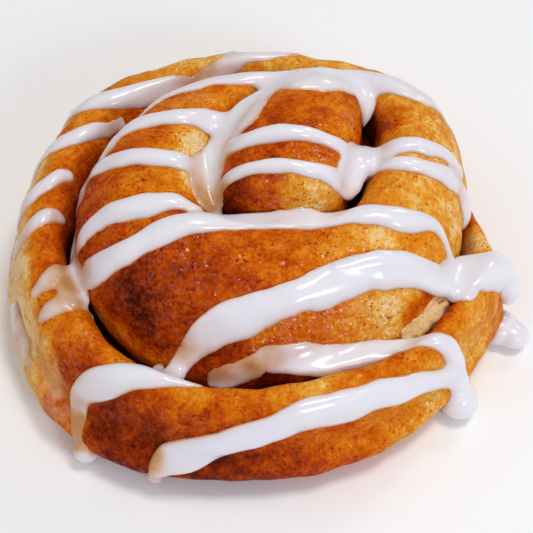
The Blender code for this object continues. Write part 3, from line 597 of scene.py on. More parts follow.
        (14.6, 6.2, 34, 5, 1.8),
    ],
    "right_rope": [
        (20.4, 15.6, 34, 5.4, 1.5), (19, 13.8, 34.8, 6.4, 1.8), (17.6, 11.6, 35, 6.4, 2),
        (16.2, 9.2, 34, 6.2, 2.1), (15.3, 7.8, 33.8, 6.4, 2), (14.9, 6.9, 33.4, 5.8, 1.8),
    ],
    "right_upper": [
        (19.8, 12.2, 31.8, 3.8, 1.3), (22.5, 11.3, 32.8, 3.8, 1.5), (26, 10.4, 34.2, 3.9, 1.6),
        (31, 10.3, 33.2, 4.1, 1.7), (35.3, 10.8, 30.8, 4.4, 1.6), (38, 11.6, 27.6, 4.2, 1.4),
        (39.3, 10.6, 25.6, 3.4, 1.3), (40, 9.2, 24, 3, 1.5), (40.4, 8.3, 22.2, 3.2, 1.9),
    ],
    "back_right": [
        (-7, 37.6, 31.6, 2, 1), (-2, 37.6, 32, 3.6, 1.4), (4, 37.4, 33, 5.6, 1.6),
        (10, 36.8, 34, 7, 1.7), (16, 36.4, 33.5, 7.5, 1.8), (20.5, 35.8, 32, 7.5, 1.9),
        (25, 34.8, 32.5, 7, 1.7), (29.5, 33, 32, 6.5, 1.5), (33.5, 31.2, 30, 6, 1.4),
        (36.5, 29.8, 26, 5, 1.3), (38.8, 28.6, 20, 4, 1.2),
    ],
    "crest_run": [
        (-26.2, 22.9, 33.6, 0.9, 0.5), (-24.2, 26.2, 33.2, 1.4, 0.8), (-21.3, 29.4, 33, 3, 1.2),
        (-17.5, 31.8, 33.3, 4.8, 1.5), (-12.5, 33.5, 34, 5.8, 1.6), (-7.5, 34.1, 34.6, 5.8, 1.6),
        (-2, 34, 35.2, 5.2, 1.6), (3.5, 33.8, 36.2, 4.6, 1.6),
    ],
    "edge_run": [
        (-24.4, 26.2, 33.2, 0.8, 0.5), (-27.8, 20.6, 33.8, 0.9, 0.5),
        (-30.6, 16.2, 33.2, 0.9, 0.5), (-33.2, 13.7, 31, 1.2, 0.6),
    ],
    "cover_lobe": [
        (36.8, -7, 23.2, 7, 1.6), (37.6, -10.4, 22.9, 6.6, 1.4),
    ],
    "diagonal_swell": [
        (13, -13.4, 31.2, 2.8, 2.5), (17.5, -12, 31, 4.2, 2.9), (22.3, -10.8, 30.4, 4.2, 2.9),
        (26.8, -9.8, 29, 3, 2.5),
    ],
    "pool_flank": [
        (-0.7, 27.2, 37.7, 5.8, 1.1), (-3.1, 24, 37.5, 8, 1.2), (-4.6, 20.6, 37.2, 8.6, 1.2),
        (-6.4, 17.4, 36.3, 8, 1.1), (-8.3, 14.6, 35.1, 6.8, 1.1), (-9.8, 11.8, 34.2, 5, 0.9),
    ],
}
DROPS = [  # middle x, y, z and the three half lengths
    (-34.4, -35, 4, 2.5, 2.3, 3.3),
    (-20.8, -40.4, 4.6, 1.8, 1.7, 2.4),
    (37.7, -23.8, 4, 3.9, 3.9, 3.8),
    (48.4, -3.4, 13, 2.4, 3, 3.6),
    (47.4, -5.8, 3.3, 4.6, 4, 3.2),
    (50.4, -7.5, 3, 3.3, 3.2, 2.6),
    (-51.4, 7.6, 9.6, 1.8, 2.6, 3.2),
    (-8.6, 51.6, 10.5, 2, 1.4, 2.4),
]
print(len(ICING), "strokes,", len(DROPS), "drops")

# %% [markdown]
# ## Lay a stroke on the dough
#
# A stroke could be a tube along its places, but then it would float or sink where the dough is
# uneven. Here rays are cast onto the dough at every half millimetre, and the icing rests on what
# they meet. Where a groove is too deep for it, it hangs across. On a slope it has sagged, so it
# is thickest towards its lower edge, and its two edges waver, as anything poured does.

# %% Which way is out of the dough
RIM, RIM_WIDTH = 0.78, 0.08  # of the outline: where the top turns into the wall
RIM_HEIGHT, RIM_DROP = 25, 14  # mm: above this it is all top, and so much lower all wall


def outside(x, y, z):
    """Where the dough is reached from: above on the top, the side on the outer wall."""
    dx = (x - OVAL[0]) / OVAL[2]
    dy = (y - OVAL[1]) / OVAL[3]
    away = Vector((dx / OVAL[2], dy / OVAL[3], 0)).normalized()
    outer = ease((math.hypot(dx, dy) - RIM) / RIM_WIDTH)
    tilt = outer * ease((RIM_HEIGHT - z) / RIM_DROP) * math.pi / 2
    return (away * math.sin(tilt) + Vector((0, 0, math.cos(tilt)))).normalized()


print("out, low at the front:", [round(v, 2) for v in outside(0, -40, 5)])

# %% The shape of a stroke
ACROSS = np.linspace(-1, 1, 15)  # the points across a stroke
SAG = 0.8  # how far across the thickest place moves downhill, for each unit of slope
MOST_SAG = 0.45  # of half the width
TOP_EDGE = (2.1, 0.5)  # powers that round the top: 2 and 0.5 are a half circle
END_ANGLES = (0.3, 0.6, 0.9, 1.2, 1.4, 1.5)  # round the half circle that ends a stroke
WOBBLE = (4.2, 0.5)  # size of the waves along an edge, how far they move it


def evened(rows, reach):
    """Each row averaged with its neighbours, the ends kept."""
    padded = np.vstack([rows[:1]] * reach + [rows] + [rows[-1:]] * reach)
    return np.mean([padded[k : k + len(rows)] for k in range(2 * reach + 1)], axis=0)


def rounded_ends(rows):
    """A stroke's rows with more at each end, so that it closes in a half circle."""
    out = [np.array(row, float) for row in rows]
    for end, step in ((0, 1), (-1, -1)):
        row = out[end].copy()
        way = row[:3] - np.array(rows[end + step][:3], float)
        way = way / np.linalg.norm(way)
        added = []
        for angle in END_ANGLES:
            more = row.copy()
            more[:3] += way * row[3] / 2 * math.sin(angle)
            more[3] *= math.cos(angle)
            more[4] *= math.cos(angle) ** 0.5
            added.append(more)
        out = added[::-1] + out if end == 0 else out + added
    return np.array(out)


def profile(slope):
    """The icing's rounded top, thickest towards its downhill edge."""
    peak = min(max(-SAG * slope, -MOST_SAG), MOST_SAG)
    lean = (ACROSS - peak) / np.where(ACROSS < peak, 1 + peak, 1 - peak)
    return np.maximum(1 - np.abs(lean) ** TOP_EDGE[0], 0) ** TOP_EDGE[1]


def edge_wobble(place, side):
    """How far a stroke's edge wavers there. The noise is read far apart for the two sides."""
    size, far = WOBBLE
    return far * noise.noise(Vector(place[:3]) / size + Vector((0, 0, 50 * side)))


print("top of a stroke on a level:", profile(0).round(2))

# %% Lay one stroke on the dough
ICING_STEP = 0.5
NARROWEST = 2  # mm of width that the slope is measured over, at least
EDGE_DEPTH = 0.2  # how far inside the dough the two edges of its top are
ROOT_DEPTH = 1.1  # and how far inside its underside is
ROOT_STRIDE = 3  # the underside has every third of the points across
REST_SLACK = 2.2  # how far icing may lie from the height its row gives
RAY_FROM, RAY_BEYOND = 12, 3 * REST_SLACK  # mm outside and inside of that height
LOWEST = 0.5  # icing stays this far off the base
FULL_WOBBLE = 4  # mm: a narrower stroke wavers less
EVEN_WAYS, EVEN_ALONG, EVEN_ACROSS = 3, (3, 2), 1  # neighbours that a value is averaged with
BUMP = 0.25  # the most that a bump of the dough may stand into the evened icing
dough_tree = BVHTree.FromObject(dough, bpy.context.evaluated_depsgraph_get())


def stroke_rings(rows, step=ICING_STEP):
    """Cross-sections of a stroke laid on the dough."""
    path = rounded_ends(smooth_path(rows, step, parts=16, axes=3, least=6))
    ways = evened(np.gradient(path[:, :3], axis=0), EVEN_WAYS)
    heights = np.zeros((len(path), len(ACROSS)))
    frames = []
    for i, (row, way) in enumerate(zip(path, ways)):
        out = outside(*row[:3])
        side = Vector(way).cross(out).normalized()
        taper = min(1.0, row[3] / FULL_WOBBLE)
        left = row[3] / 2 + edge_wobble(row, -1) * taper
        right = row[3] / 2 + edge_wobble(row, 1) * taper
        spots = [
            Vector(row[:3]) + side * across * (left if across < 0 else right)
            for across in ACROSS
        ]
        frames.append((spots, out))
        for j, spot in enumerate(spots):
            origin = in_frame(*(spot + out * RAY_FROM))
            met = dough_tree.ray_cast(origin, -out, (RAY_FROM + RAY_BEYOND) * MM)
            height = RAY_FROM - met[3] / MM if met[0] else -REST_SLACK
            heights[i, j] = min(max(height, -REST_SLACK), REST_SLACK)
    rests = evened(evened(heights, EVEN_ALONG[0]), EVEN_ALONG[1])
    rests = evened(rests.T, EVEN_ACROSS).T
    rests = np.maximum(rests, heights - BUMP)
    rings = []
    for (spots, out), row, rest in zip(frames, path, rests):
        shares = profile((rest[-1] - rest[0]) / max(row[3], NARROWEST))
        ring = [
            spot + out * (height - EDGE_DEPTH + share * row[4])
            for spot, height, share in zip(spots, rest, shares)
        ]
        for j in range(len(ACROSS) - 2, 0, -ROOT_STRIDE):
            ring.append(spots[j] + out * (rest[j] - ROOT_DEPTH))
        rings.append([(p.x, p.y, max(p.z, LOWEST)) for p in ring])
    return rings


print("a stroke has", len(ACROSS), "points across, every", ICING_STEP, "mm")

# %% [markdown]
# ## Melt the strokes into one skin
#
# The strokes and drops overlap where they cross. They could be joined with booleans, which would
# leave sharp creases. A voxel remesh wraps them in one even skin instead, and a little smoothing
# lets them settle into each other. Wet icing also runs level in a crease and keeps its ridges,
# so the last passes lift only the points that lie lower than their neighbours.

# %% Melt pieces into one skin


def applied(piece):
    """The piece, with its modifiers made part of its mesh."""
    graph = bpy.context.evaluated_depsgraph_get()
    mesh = bpy.data.meshes.new_from_object(piece.evaluated_get(graph))
    piece.modifiers.clear()
    piece.vertex_groups.clear()
    piece.data = mesh
    mesh.name = piece.name
    mesh.shade_smooth()
    return piece


def melted(name, bm, voxel, passes):
    """An object with the bmesh's pieces remeshed into one smooth skin."""
    made = finished(name, bm)
    remesh = made.modifiers.new("melt", "REMESH")
    remesh.mode = "VOXEL"
    remesh.voxel_size = voxel
    smooth = made.modifiers.new("settle", "SMOOTH")
    smooth.factor = 0.5
    smooth.iterations = passes
    return applied(made)


# %% Run the creases level
SAME_WAYS = 6  # passes until it is looked up again which way the skin faces


def numbers(items, name, width=1, kind=np.float32):
    """One property of a mesh's points or edges, as an array with so many columns."""
    values = np.zeros(len(items) * width, kind)
    items.foreach_get(name, values)
    return values.reshape(-1, width) if width > 1 else values


def fill_hollows(piece, passes):
    """Runs the skin level in its creases only, as wet icing does, and leaves its ridges."""
    mesh = piece.data
    count = len(mesh.vertices)
    spots = numbers(mesh.vertices, "co", 3)
    near, far = numbers(mesh.edges, "vertices", 2, np.int32).T
    near, far = np.concatenate([near, far]), np.concatenate([far, near])
    share = 1 / np.bincount(near, minlength=count)
    for k in range(passes):
        if k % SAME_WAYS == 0:
            mesh.vertices.foreach_set("co", spots.ravel())
            mesh.update()
            ways = numbers(mesh.vertex_normals, "vector", 3)
        middle = np.column_stack(
            [np.bincount(near, axis[far], count) * share for axis in spots.T]
        )
        lift = np.clip(((middle - spots) * ways).sum(axis=1), 0, None)
        spots = (spots + ways * lift[:, None]).astype(np.float32)
    mesh.vertices.foreach_set("co", spots.ravel())
    mesh.update()


# %% The icing
VOXEL = 0.4 * MM
SETTLING = 8  # smoothing passes
FILLING = 36  # passes over the creases
icing_bm = bmesh.new()
for rows in ICING.values():
    skin_through(icing_bm, stroke_rings(rows))
for x, y, z, *halves in DROPS:
    ball = bmesh.ops.create_icosphere(icing_bm, subdivisions=4, radius=1.0)["verts"]
    for vert in ball:
        point = Vector((x, y, z)) + Vector(c * h for c, h in zip(vert.co, halves))
        vert.co = in_frame(point.x, point.y, max(point.z, LOWEST))
icing = melted("icing", icing_bm, VOXEL, SETTLING)
fill_hollows(icing, FILLING)
print("icing:", len(icing.data.polygons), "faces before thinning")

# %% [markdown]
# ## Thin out what is buried
#
# Much of the icing's skin lies inside the dough, where it is never seen. It could be cut away,
# but then the icing would be open underneath. A Decimate modifier with a vertex group takes
# faces from the buried part first, and keeps the skin closed.

# %% Thin out what is buried
BURIED = 0.35 * MM  # this far inside the dough
BURIED_FIRST = 1000  # how strongly the modifier prefers the buried points
KEPT = 0.6  # of all the faces


def depths(piece):
    """How far each point of a piece is outside the dough's skin, less than 0 inside."""
    out = np.zeros(len(piece.data.vertices))
    for i, vert in enumerate(piece.data.vertices):
        place, normal, _, distance = dough_tree.find_nearest(vert.co)
        out[i] = distance if (vert.co - place).dot(normal) > 0 else -distance
    return out


buried = np.flatnonzero(depths(icing) < -BURIED)
icing.vertex_groups.new(name="buried").add(buried.tolist(), 1.0, "REPLACE")
thin = icing.modifiers.new("thin", "DECIMATE")
thin.vertex_group = "buried"
thin.vertex_group_factor = BURIED_FIRST
thin.ratio = KEPT
applied(icing)
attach(icing, "root")
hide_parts("roll")
icing.data.calc_loop_triangles()
print("icing:", len(icing.data.loop_triangles), "triangles,", len(buried), "points were buried")

# %% [markdown]
# ## The pale lip
#
# At the right of the front the rolled dough shows its cut edge: a narrow, pale, crumbly ridge
# that the oven did not brown. It is laid on with the same function as a stroke of icing, in
# smaller steps, and noise then pushes crumbs out of it.

# %% The lip
LIP_STEP, LIP_VOXEL, LIP_SETTLING = 0.4, 0.35 * MM, 3
CRUMBS = [(1.6, 0.6), (0.8, 0.12)]  # size of a crumb, how far it stands out
LIP = [
    (34.6, -9.6, 22, 2.2, 1.2), (33.9, -11.4, 21.6, 3, 1.7), (32.5, -13.8, 21.2, 3.2, 1.9),
    (30.5, -16, 20.6, 3.2, 1.9), (28.4, -17.8, 20.2, 3, 1.8), (26.3, -19.1, 19.9, 2.4, 1.4),
]
lip_bm = bmesh.new()
skin_through(lip_bm, stroke_rings(LIP, LIP_STEP))
lip = melted("lip", lip_bm, LIP_VOXEL, LIP_SETTLING)
for vert in lip.data.vertices:
    vert.co += vert.normal * pushed(vert.co, CRUMBS) * MM
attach(lip, "root")
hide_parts("roll")
print("lip:", len(lip.data.polygons), "faces")

# %% [markdown]
# ## Helpers for materials
#
# Colours are written as the sRGB hex values that a screen shows. Blender computes in linear
# light, so one function turns them round. Another adds a node with its settings and links, and
# uses a third that feeds inputs with values or links, which also serves the shader's own.

# %% Colours and nodes


def linear(hex_colour):
    """An sRGB hex colour as linear red, green, blue and full alpha."""
    values = [int(hex_colour[i : i + 2], 16) / 255 for i in (1, 3, 5)]
    return (*(v / 12.92 if v <= 0.04045 else ((v + 0.055) / 1.055) ** 2.4 for v in values), 1.0)


def feed(tree, node, inputs):
    """Sets a node's inputs, each to a value or by a link from another node's output."""
    for name, value in dict(inputs).items():
        if isinstance(value, bpy.types.NodeSocket):
            tree.links.new(value, node.inputs[name])
        else:
            node.inputs[name].default_value = value


def add(tree, kind, inputs=(), **settings):
    """Adds a node with its settings, its inputs given as values or links."""
    node = tree.nodes.new("ShaderNode" + kind)
    for name, value in settings.items():
        if name == "stops":
            elements = node.color_ramp.elements
            while len(elements) < len(value):
                elements.new(0.5)
            for element, (position, colour) in zip(elements, value):
                element.position = position
                element.color = linear(colour)
        else:
            setattr(node, name, value)
    feed(tree, node, inputs)
    return node


def material(name):
    """A new material, its node tree and its shader."""
    made = bpy.data.materials.new(name)
    made.use_nodes = True
    return made, made.node_tree, made.node_tree.nodes["Principled BSDF"]


def per_mm(size):
    """The scale of a texture whose pattern repeats about every size in millimetres."""
    return 1000 / size


print("a mid grey, #808080, is", round(linear("#808080")[0], 3), "in linear light")

# %% [markdown]
# ## Where the crust is dark, pale or wet
#
# How dark the oven made the dough depends on the place: the tops are browned, the walls that
# leaned on each other are pale or stained by cinnamon, and the sides of the roll, where it
# touched its neighbours in the tray, stayed pale. A painted texture could say so, but numbers on
# the points of the mesh keep their place when the shape changes. The table gives five tones for
# each row of the strip, in hundredths, 0 for raw gold to 100 for nearly burnt: inner wall, inner
# shoulder, crest, outer shoulder, outer wall. Patches then darken, wet, dust or glaze it. Some of
# the dark and pale is painted light: walls deep in the seams are darkened as painted shade, a
# painted shadow lies beside the lip, and the tail's top is made paler as painted light where the
# turn beside it shades it.

# %% How baked each row is, with painted shade and light in some rows
TONES = [
    (62, 60, 60, 32, 40), (60, 55, 56, 48, 70), (48, 46, 40, 46, 80), (48, 45, 40, 48, 80),
    (60, 50, 50, 50, 60), (60, 50, 50, 50, 50), (50, 40, 38, 36, 30), (30, 32, 38, 42, 50),
    (5, 14, 44, 60, 75), (10, 22, 48, 68, 80), (50, 52, 56, 66, 24), (50, 50, 58, 68, 40),
    (40, 46, 54, 52, 95), (40, 44, 46, 24, 60), (40, 34, 28, 20, 30), (50, 34, 14, 18, 25),
    (60, 36, 12, 16, 25), (75, 50, 18, 20, 25), (60, 40, 20, 16, 15), (50, 30, 12, 10, 10),
    # The inner walls of rows 23 to 25 are nearly black: partly cinnamon stain, partly painted
    # shade of the seam they face.
    (50, 35, 14, 10, 8), (50, 40, 24, 16, 8), (60, 46, 36, 25, 6), (100, 60, 38, 34, 10),
    (100, 58, 38, 36, 8), (100, 55, 40, 38, 9), (85, 50, 50, 52, 30), (80, 42, 46, 70, 84),
    (80, 38, 48, 62, 80), (80, 38, 44, 46, 50), (80, 42, 34, 26, 20), (80, 40, 26, 24, 20),
    # Row 33, where the tail starts beside the turn that shades it, is paler than it baked: painted
    # light.
    (60, 40, 26, 30, 36), (0, 5, 18, 28, 35), (20, 20, 30, 38, 40), (40, 38, 42, 46, 50),
]
TONE_AT = (-0.04, 0.16, 0.5, 0.84, 1.04)  # across the top, where the five tones are
WALL_FROM = [  # row, how far across the top the outer wall's tone starts, with a clear edge
    (9.5, 1), (9.9, 0.9), (10.8, 0.87), (11.3, 1), (21, 1), (22, 0.7), (23, 0.62), (24, 0.6),
    (25, 0.64), (25.6, 0.75), (26, 0.95), (27, 1),
]
WALL_WAVES = (3.5, 0.07)  # size of the waves along that edge, how far they move it
WALL_BLEND = 0.09  # how far across the top the edge takes
SEAM_SHADE_FROM, SEAM_SHADE_BLEND = 1.0, 0.015  # across: from here down, the wall of the front seam is darkened as painted shade
SEAM_SHADE_ROW, SEAM_SHADE_ROWS = 10, 0.8  # which row it is at, and how many rows to either side
print("tones for", len(TONES), "rows")

# %% Patches
GLAZE_FROM = 0.95  # across: from here on it is bare wall, which a film of icing can cover
SPICE = 0.25  # how much ground cinnamon is everywhere
DARKER = [  # x, y, how far a patch reaches, how much darker the crust is there, or paler
    (-25.4, -14.8, 6, 0.16), (-21.6, -19.8, 5, 0.12), (-7.7, -25.3, 5, 0.22),
    (0.6, -22.6, 5, -0.22), (11.7, -20.8, 6, -0.06), (21.2, -17.5, 5, -0.16), (25, -14, 4, -0.14),
    (-13.6, 16.4, 3.6, -0.3), (-14.1, 6.7, 3, -0.3), (-26, 5.1, 2, -0.18), (-6.5, 3.6, 3, 0.3),
    (9.2, 2.3, 4, -0.2), (0.6, 3, 1.8, 0.12), (-27.6, -27.2, 3, -0.26), (-13.7, -34.6, 4, -0.2),
    (7.8, -33.8, 5, -0.2), (-33.4, -22.8, 2.5, -0.12), (-32.3, -26, 4, 0.14), (1, -28, 3, 0.4),
    # (40.9, 3.7) makes the tail's top paler: painted light where the turn beside it shades it.
    (24.8, 23, 3, 0.3), (31.3, -10.3, 0.9, 0.5), (40.9, 3.7, 4, -0.24), (4.6, 0.9, 4.6, -0.18),
    (-2, 1.5, 2.4, -0.06), (11.7, -20.4, 3.6, 0.12), (-27, -34.6, 4, 0.06),
    (30.7, -12.3, 0.9, 0.5), (29.5, -13.9, 0.9, 0.5), (27.9, -15.7, 0.9, 0.5),
    # (35.6, -12.1), (34.1, -14.8) and (32.4, -17.2) are a painted shadow on the outer turn, to the
    # right of the lip.
    (26.4, -17.3, 0.9, 0.4), (35.6, -12.1, 1.4, 0.4), (34.1, -14.8, 1.4, 0.4),
    (32.4, -17.2, 1.3, 0.3), (13.6, -9.1, 4, -0.12), (2.6, 19.5, 4, 0.04), (21.2, -6, 3.5, -0.25),
    (-40.2, -28.8, 3.5, 0.3), (-29.5, -34.5, 5, 0.2),
]
WET = [  # x, y, how far it reaches, how wet with syrup and egg wash the crust is
    (-13.6, 16.4, 4, 1), (-14.1, 6.7, 3, 0.9), (0.6, -22.6, 5, 1), (11.7, -20.8, 6, 1),
    (21.2, -17.5, 6, 1), (1.6, 2.6, 3, 1), (9.2, 2.3, 4, 0.9), (6.4, 9.2, 4, 0.4),
    (11, 9.4, 2.4, 0.8), (16, 20, 3, 0.7), (-14.3, 26.7, 5, 0.8), (-33.4, -23.4, 3, 0.8),
    (-15.7, -15.8, 12, 0.5), (13.6, -9.1, 6, 0.3),
]
SPICY = [  # x, y, how far it reaches, how much more ground cinnamon is there
    (-25.4, -14.8, 9, 0.5), (-12, -16, 10, 0.5), (25, -6, 7, 0.6), (14, -9, 8, 0.3),
    (20, -18, 8, 0.4), (6.4, 9.2, 6, 0.4), (4, 20, 7, 0.3), (-19, 14, 6, 0.5), (-26, 5, 5, 0.4),
    (-39, 6, 5, 0.5), (9, 2, 4, 0.6), (-10, -34, 6, 0.4), (-12, -26, 6, 0.4),
]
GLAZED = [  # x, y, how far it reaches, how well a thin film of icing covers the bare wall
    (-50, -1, 5, 0.9), (-49, -9, 5, 0.8), (-47, -17, 5, 0.9), (-42, -25, 4, 0.5),
    (-51, 4, 4, 0.9), (-50, 14, 4, 0.5), (-39, -28.5, 3, 0.5), (-8, 47, 8, 0.5),
]
print("patches:", sum(len(patches) for patches in (DARKER, WET, SPICY, GLAZED)))

# %% Number the dough's points


def summed(points, spots):
    """The spots' amounts added up at each point, fading with distance in plan."""
    total = np.zeros(len(points))
    for x, y, reach, amount in spots:
        gap = (points[:, 0] - x) ** 2 + (points[:, 1] - y) ** 2
        total += amount * np.exp(-gap / reach**2)
    return total


def give(piece, name, values):
    """Stores a number at each of the piece's points, for a material to read by name."""
    layer = piece.data.attributes.new(name, "FLOAT", "POINT")
    layer.data.foreach_set("value", np.ascontiguousarray(values, np.float32))


def places_of(piece):
    """The piece's points in the tables' millimetres."""
    return numbers(piece.data.vertices, "co", 3) / MM + np.array([*MIDDLE, 0])


points = places_of(dough)
tones = np.array(TONES) / 100
row_at = np.clip(numbers(dough.data.attributes["row"].data, "value"), 0, len(TONES) - 1)
column_at = numbers(dough.data.attributes["column"].data, "value")
# Along the strip each of the five tones runs from row to row, and across it they blend.
by_zone = [np.interp(row_at, range(len(tones)), tone) for tone in tones.T]
bake = np.array([np.interp(t, TONE_AT, zone) for t, zone in zip(column_at, np.array(by_zone).T)])
# Where the wall starts with a clear edge, its own tone takes over beyond that edge.
start = np.interp(row_at, *np.array(WALL_FROM).T)
waves = np.array([noise.noise(Vector(point) / WALL_WAVES[0]) for point in points])
start += waves * WALL_WAVES[1] * (start < 1)
walled = np.clip((column_at - start) / WALL_BLEND + 0.5, 0, 1) * (start < 1)
bake += walled * (by_zone[4] - bake) + summed(points, DARKER)
# Painted shade: the outer wall deep in the front seam is darkened towards black.
in_shaded_seam = abs(row_at - SEAM_SHADE_ROW) < SEAM_SHADE_ROWS
bake += np.clip((column_at - SEAM_SHADE_FROM) / SEAM_SHADE_BLEND, 0, 1) * in_shaded_seam
bare = np.maximum(walled, column_at > GLAZE_FROM)
give(dough, "bake", bake)
give(dough, "wet", summed(points, WET))
give(dough, "spicy", SPICE + summed(points, SPICY))
give(dough, "glazed", np.clip(summed(points, GLAZED), 0, 1) * bare)
print("bake from", bake.min().round(2), "to", bake.max().round(2))

# %% [markdown]
# ## Baked dough
#
# An egg-washed yeast dough: pale gold where the walls were shielded, orange-brown on top, with
# reddish patches where cinnamon lies under the skin and dark specks of ground cinnamon. The
# skin is finely pitted and rather matt. Where syrup seeped out it is wet, and glints. The colour
# comes from one ramp, read by how baked the place is, because an oven browns along such a ramp;
# the painted shade in the seams and beside the lip, and the painted light on the tail, are read
# along the same ramp. The wet is a clear coat on top, as it is on the real one, and not a shinier
# crust.

# %% Baked dough
LIP_NUMBERS = {"bake": -0.08, "spicy": 0.6, "wet": 0.6}  # unbaked, wet and full of cinnamon
CRUST = [  # how baked, in places also painted shade and light, and the crust's colour there
    (0, "#f0ca92"), (0.07, "#efbb62"), (0.16, "#e8a036"), (0.30, "#e08414"), (0.45, "#d26402"),
    (0.58, "#bb4801"), (0.72, "#9a3202"), (0.86, "#721f02"), (1, "#451002"),
]


def crust_material(name):
    """The crust, read from the numbers on a piece's points."""
    crust, tree, shader = material(name)
    at = add(tree, "TexCoord").outputs["Object"]
    bake_and_shade_at, wet_at, spicy_at, glazed_at = (
        add(tree, "Attribute", attribute_name=layer).outputs["Fac"]
        for layer in ("bake", "wet", "spicy", "glazed")
    )

    # Three sizes of blotch: baked patches, crumbs under the skin, and the skin's own grain.
    total = bake_and_shade_at
    for size, detail, far in ((9.0, 2.0, 0.10), (2.6, 3.0, 0.12), (0.8, 3.0, 0.11)):
        blotch = add(tree, "TexNoise", {"Vector": at, "Scale": per_mm(size), "Detail": detail,
                                        "Roughness": 0.6})
        level = add(tree, "MapRange", {"Value": blotch.outputs["Fac"], "From Min": 0.3,
                                       "From Max": 0.7, "To Min": -far, "To Max": far})
        both = add(tree, "Math", {0: total, 1: level.outputs["Result"]}, operation="ADD")
        total = both.outputs[0]
    skin = add(tree, "ValToRGB", {"Fac": total}, stops=CRUST).outputs["Color"]

    # Ground cinnamon, in drifts: the peaks of a fine noise make specks of 0.2 to 0.5 mm.
    drift = add(tree, "TexNoise", {"Vector": at, "Scale": per_mm(5.0), "Detail": 2.0})
    speck = add(tree, "TexNoise", {"Vector": at, "Scale": per_mm(0.65), "Detail": 2.0,
                                   "Roughness": 0.7})
    plenty = add(tree, "MapRange", {"Value": drift.outputs["Fac"], "From Min": 0.35,
                                    "From Max": 0.65, "To Min": -0.04, "To Max": 0.06})
    spice = add(tree, "MapRange", {"Value": spicy_at, "To Min": -0.67, "To Max": -0.615})
    lifted = add(tree, "Math", {0: plenty.outputs["Result"], 1: spice.outputs["Result"]},
                 operation="ADD")
    over = add(tree, "Math", {0: speck.outputs["Fac"], 1: lifted.outputs[0]}, operation="ADD")
    mask = add(tree, "MapRange", {"Value": over.outputs[0], "From Max": 0.05, "To Max": 0.9})
    specked = add(tree, "Mix", {0: mask.outputs["Result"], 6: skin, 7: linear("#a45830")},
                  data_type="RGBA", blend_type="MULTIPLY")

    # A film of icing that dried on the wall, thin enough to let the gold through.
    cloud = add(tree, "TexNoise", {"Vector": at, "Scale": per_mm(3.5), "Detail": 2.0})
    film = add(tree, "MapRange", {"Value": cloud.outputs["Fac"], "From Min": 0.36,
                                  "From Max": 0.6, "To Max": 0.6})
    share = add(tree, "Math", {0: film.outputs["Result"], 1: glazed_at}, operation="MULTIPLY")
    filmed = add(tree, "Mix", {0: share.outputs[0], 6: specked.outputs[2], 7: linear("#efd6a6")},
                 data_type="RGBA")

    # Puckers of 1.7 mm, deepest where it is wet, and pits of 0.6 mm everywhere. The real pits
    # are finer: they are drawn as coarse as they need to be to show.
    puckers = add(tree, "TexNoise", {"Vector": at, "Scale": per_mm(1.7), "Detail": 2.0,
                                     "Roughness": 0.55})
    deep = add(tree, "MapRange", {"Value": wet_at, "To Min": 0.4, "To Max": 1.0})
    first = add(tree, "Bump", {"Strength": deep.outputs["Result"], "Distance": 0.9 * MM,
                               "Height": puckers.outputs["Fac"]})
    pits = add(tree, "TexNoise", {"Vector": at, "Scale": per_mm(0.6), "Detail": 2.0,
                                  "Roughness": 0.6})
    second = add(tree, "Bump", {"Strength": 1.0, "Distance": 0.2 * MM,
                                "Height": pits.outputs["Fac"], "Normal": first.outputs["Normal"]})

    # Beads of syrup and egg wash dry glossy in some of the hollows: they give the small glints.
    beads = add(tree, "TexNoise", {"Vector": at, "Scale": per_mm(1.1), "Detail": 1.0})
    syrup = add(tree, "Math", {0: wet_at, 1: 0.12, 2: beads.outputs["Fac"]},
                operation="MULTIPLY_ADD")
    bead = add(tree, "MapRange", {"Value": syrup.outputs[0], "From Min": 0.57, "From Max": 0.64})
    gloss = add(tree, "Math", {0: wet_at, 1: 0.3}, operation="ADD", use_clamp=True)
    glossy = add(tree, "Math", {0: bead.outputs["Result"], 1: gloss.outputs[0]},
                 operation="MULTIPLY")

    # A matt crust that lets a little light in, under the clear syrup.
    feed(tree, shader, {
        "Base Color": filmed.outputs[2], "Roughness": 0.6, "Specular IOR Level": 0.05,
        "Normal": second.outputs["Normal"],
        "Subsurface Weight": 0.06, "Subsurface Scale": 1.5 * MM,
        "Subsurface Radius": (1.0, 0.45, 0.15),
        "Coat Weight": glossy.outputs[0], "Coat Roughness": 0.07, "Coat IOR": 1.45,
        "Coat Normal": first.outputs["Normal"],
    })
    return crust


dough.data.materials.append(crust_material("baked_yeast_dough"))
for layer, value in LIP_NUMBERS.items():
    give(lip, layer, np.full(len(lip.data.vertices), value))
lip.data.materials.append(crust_material("unbrowned_dough_edge"))
print("materials:", [made.name for made in bpy.data.materials])

# %% [markdown]
# ## Sugar icing
#
# Powdered sugar stirred with milk. Where it ran thin the dough shows through, so its material
# has to know how thick it is. That could be painted by hand, but it can be measured: it is the
# distance between each point of its skin and the dough, made less in the places where the icing
# was more syrup than sugar. On the drops at the front foot it is made less also as painted shade,
# which turns them beige-grey.

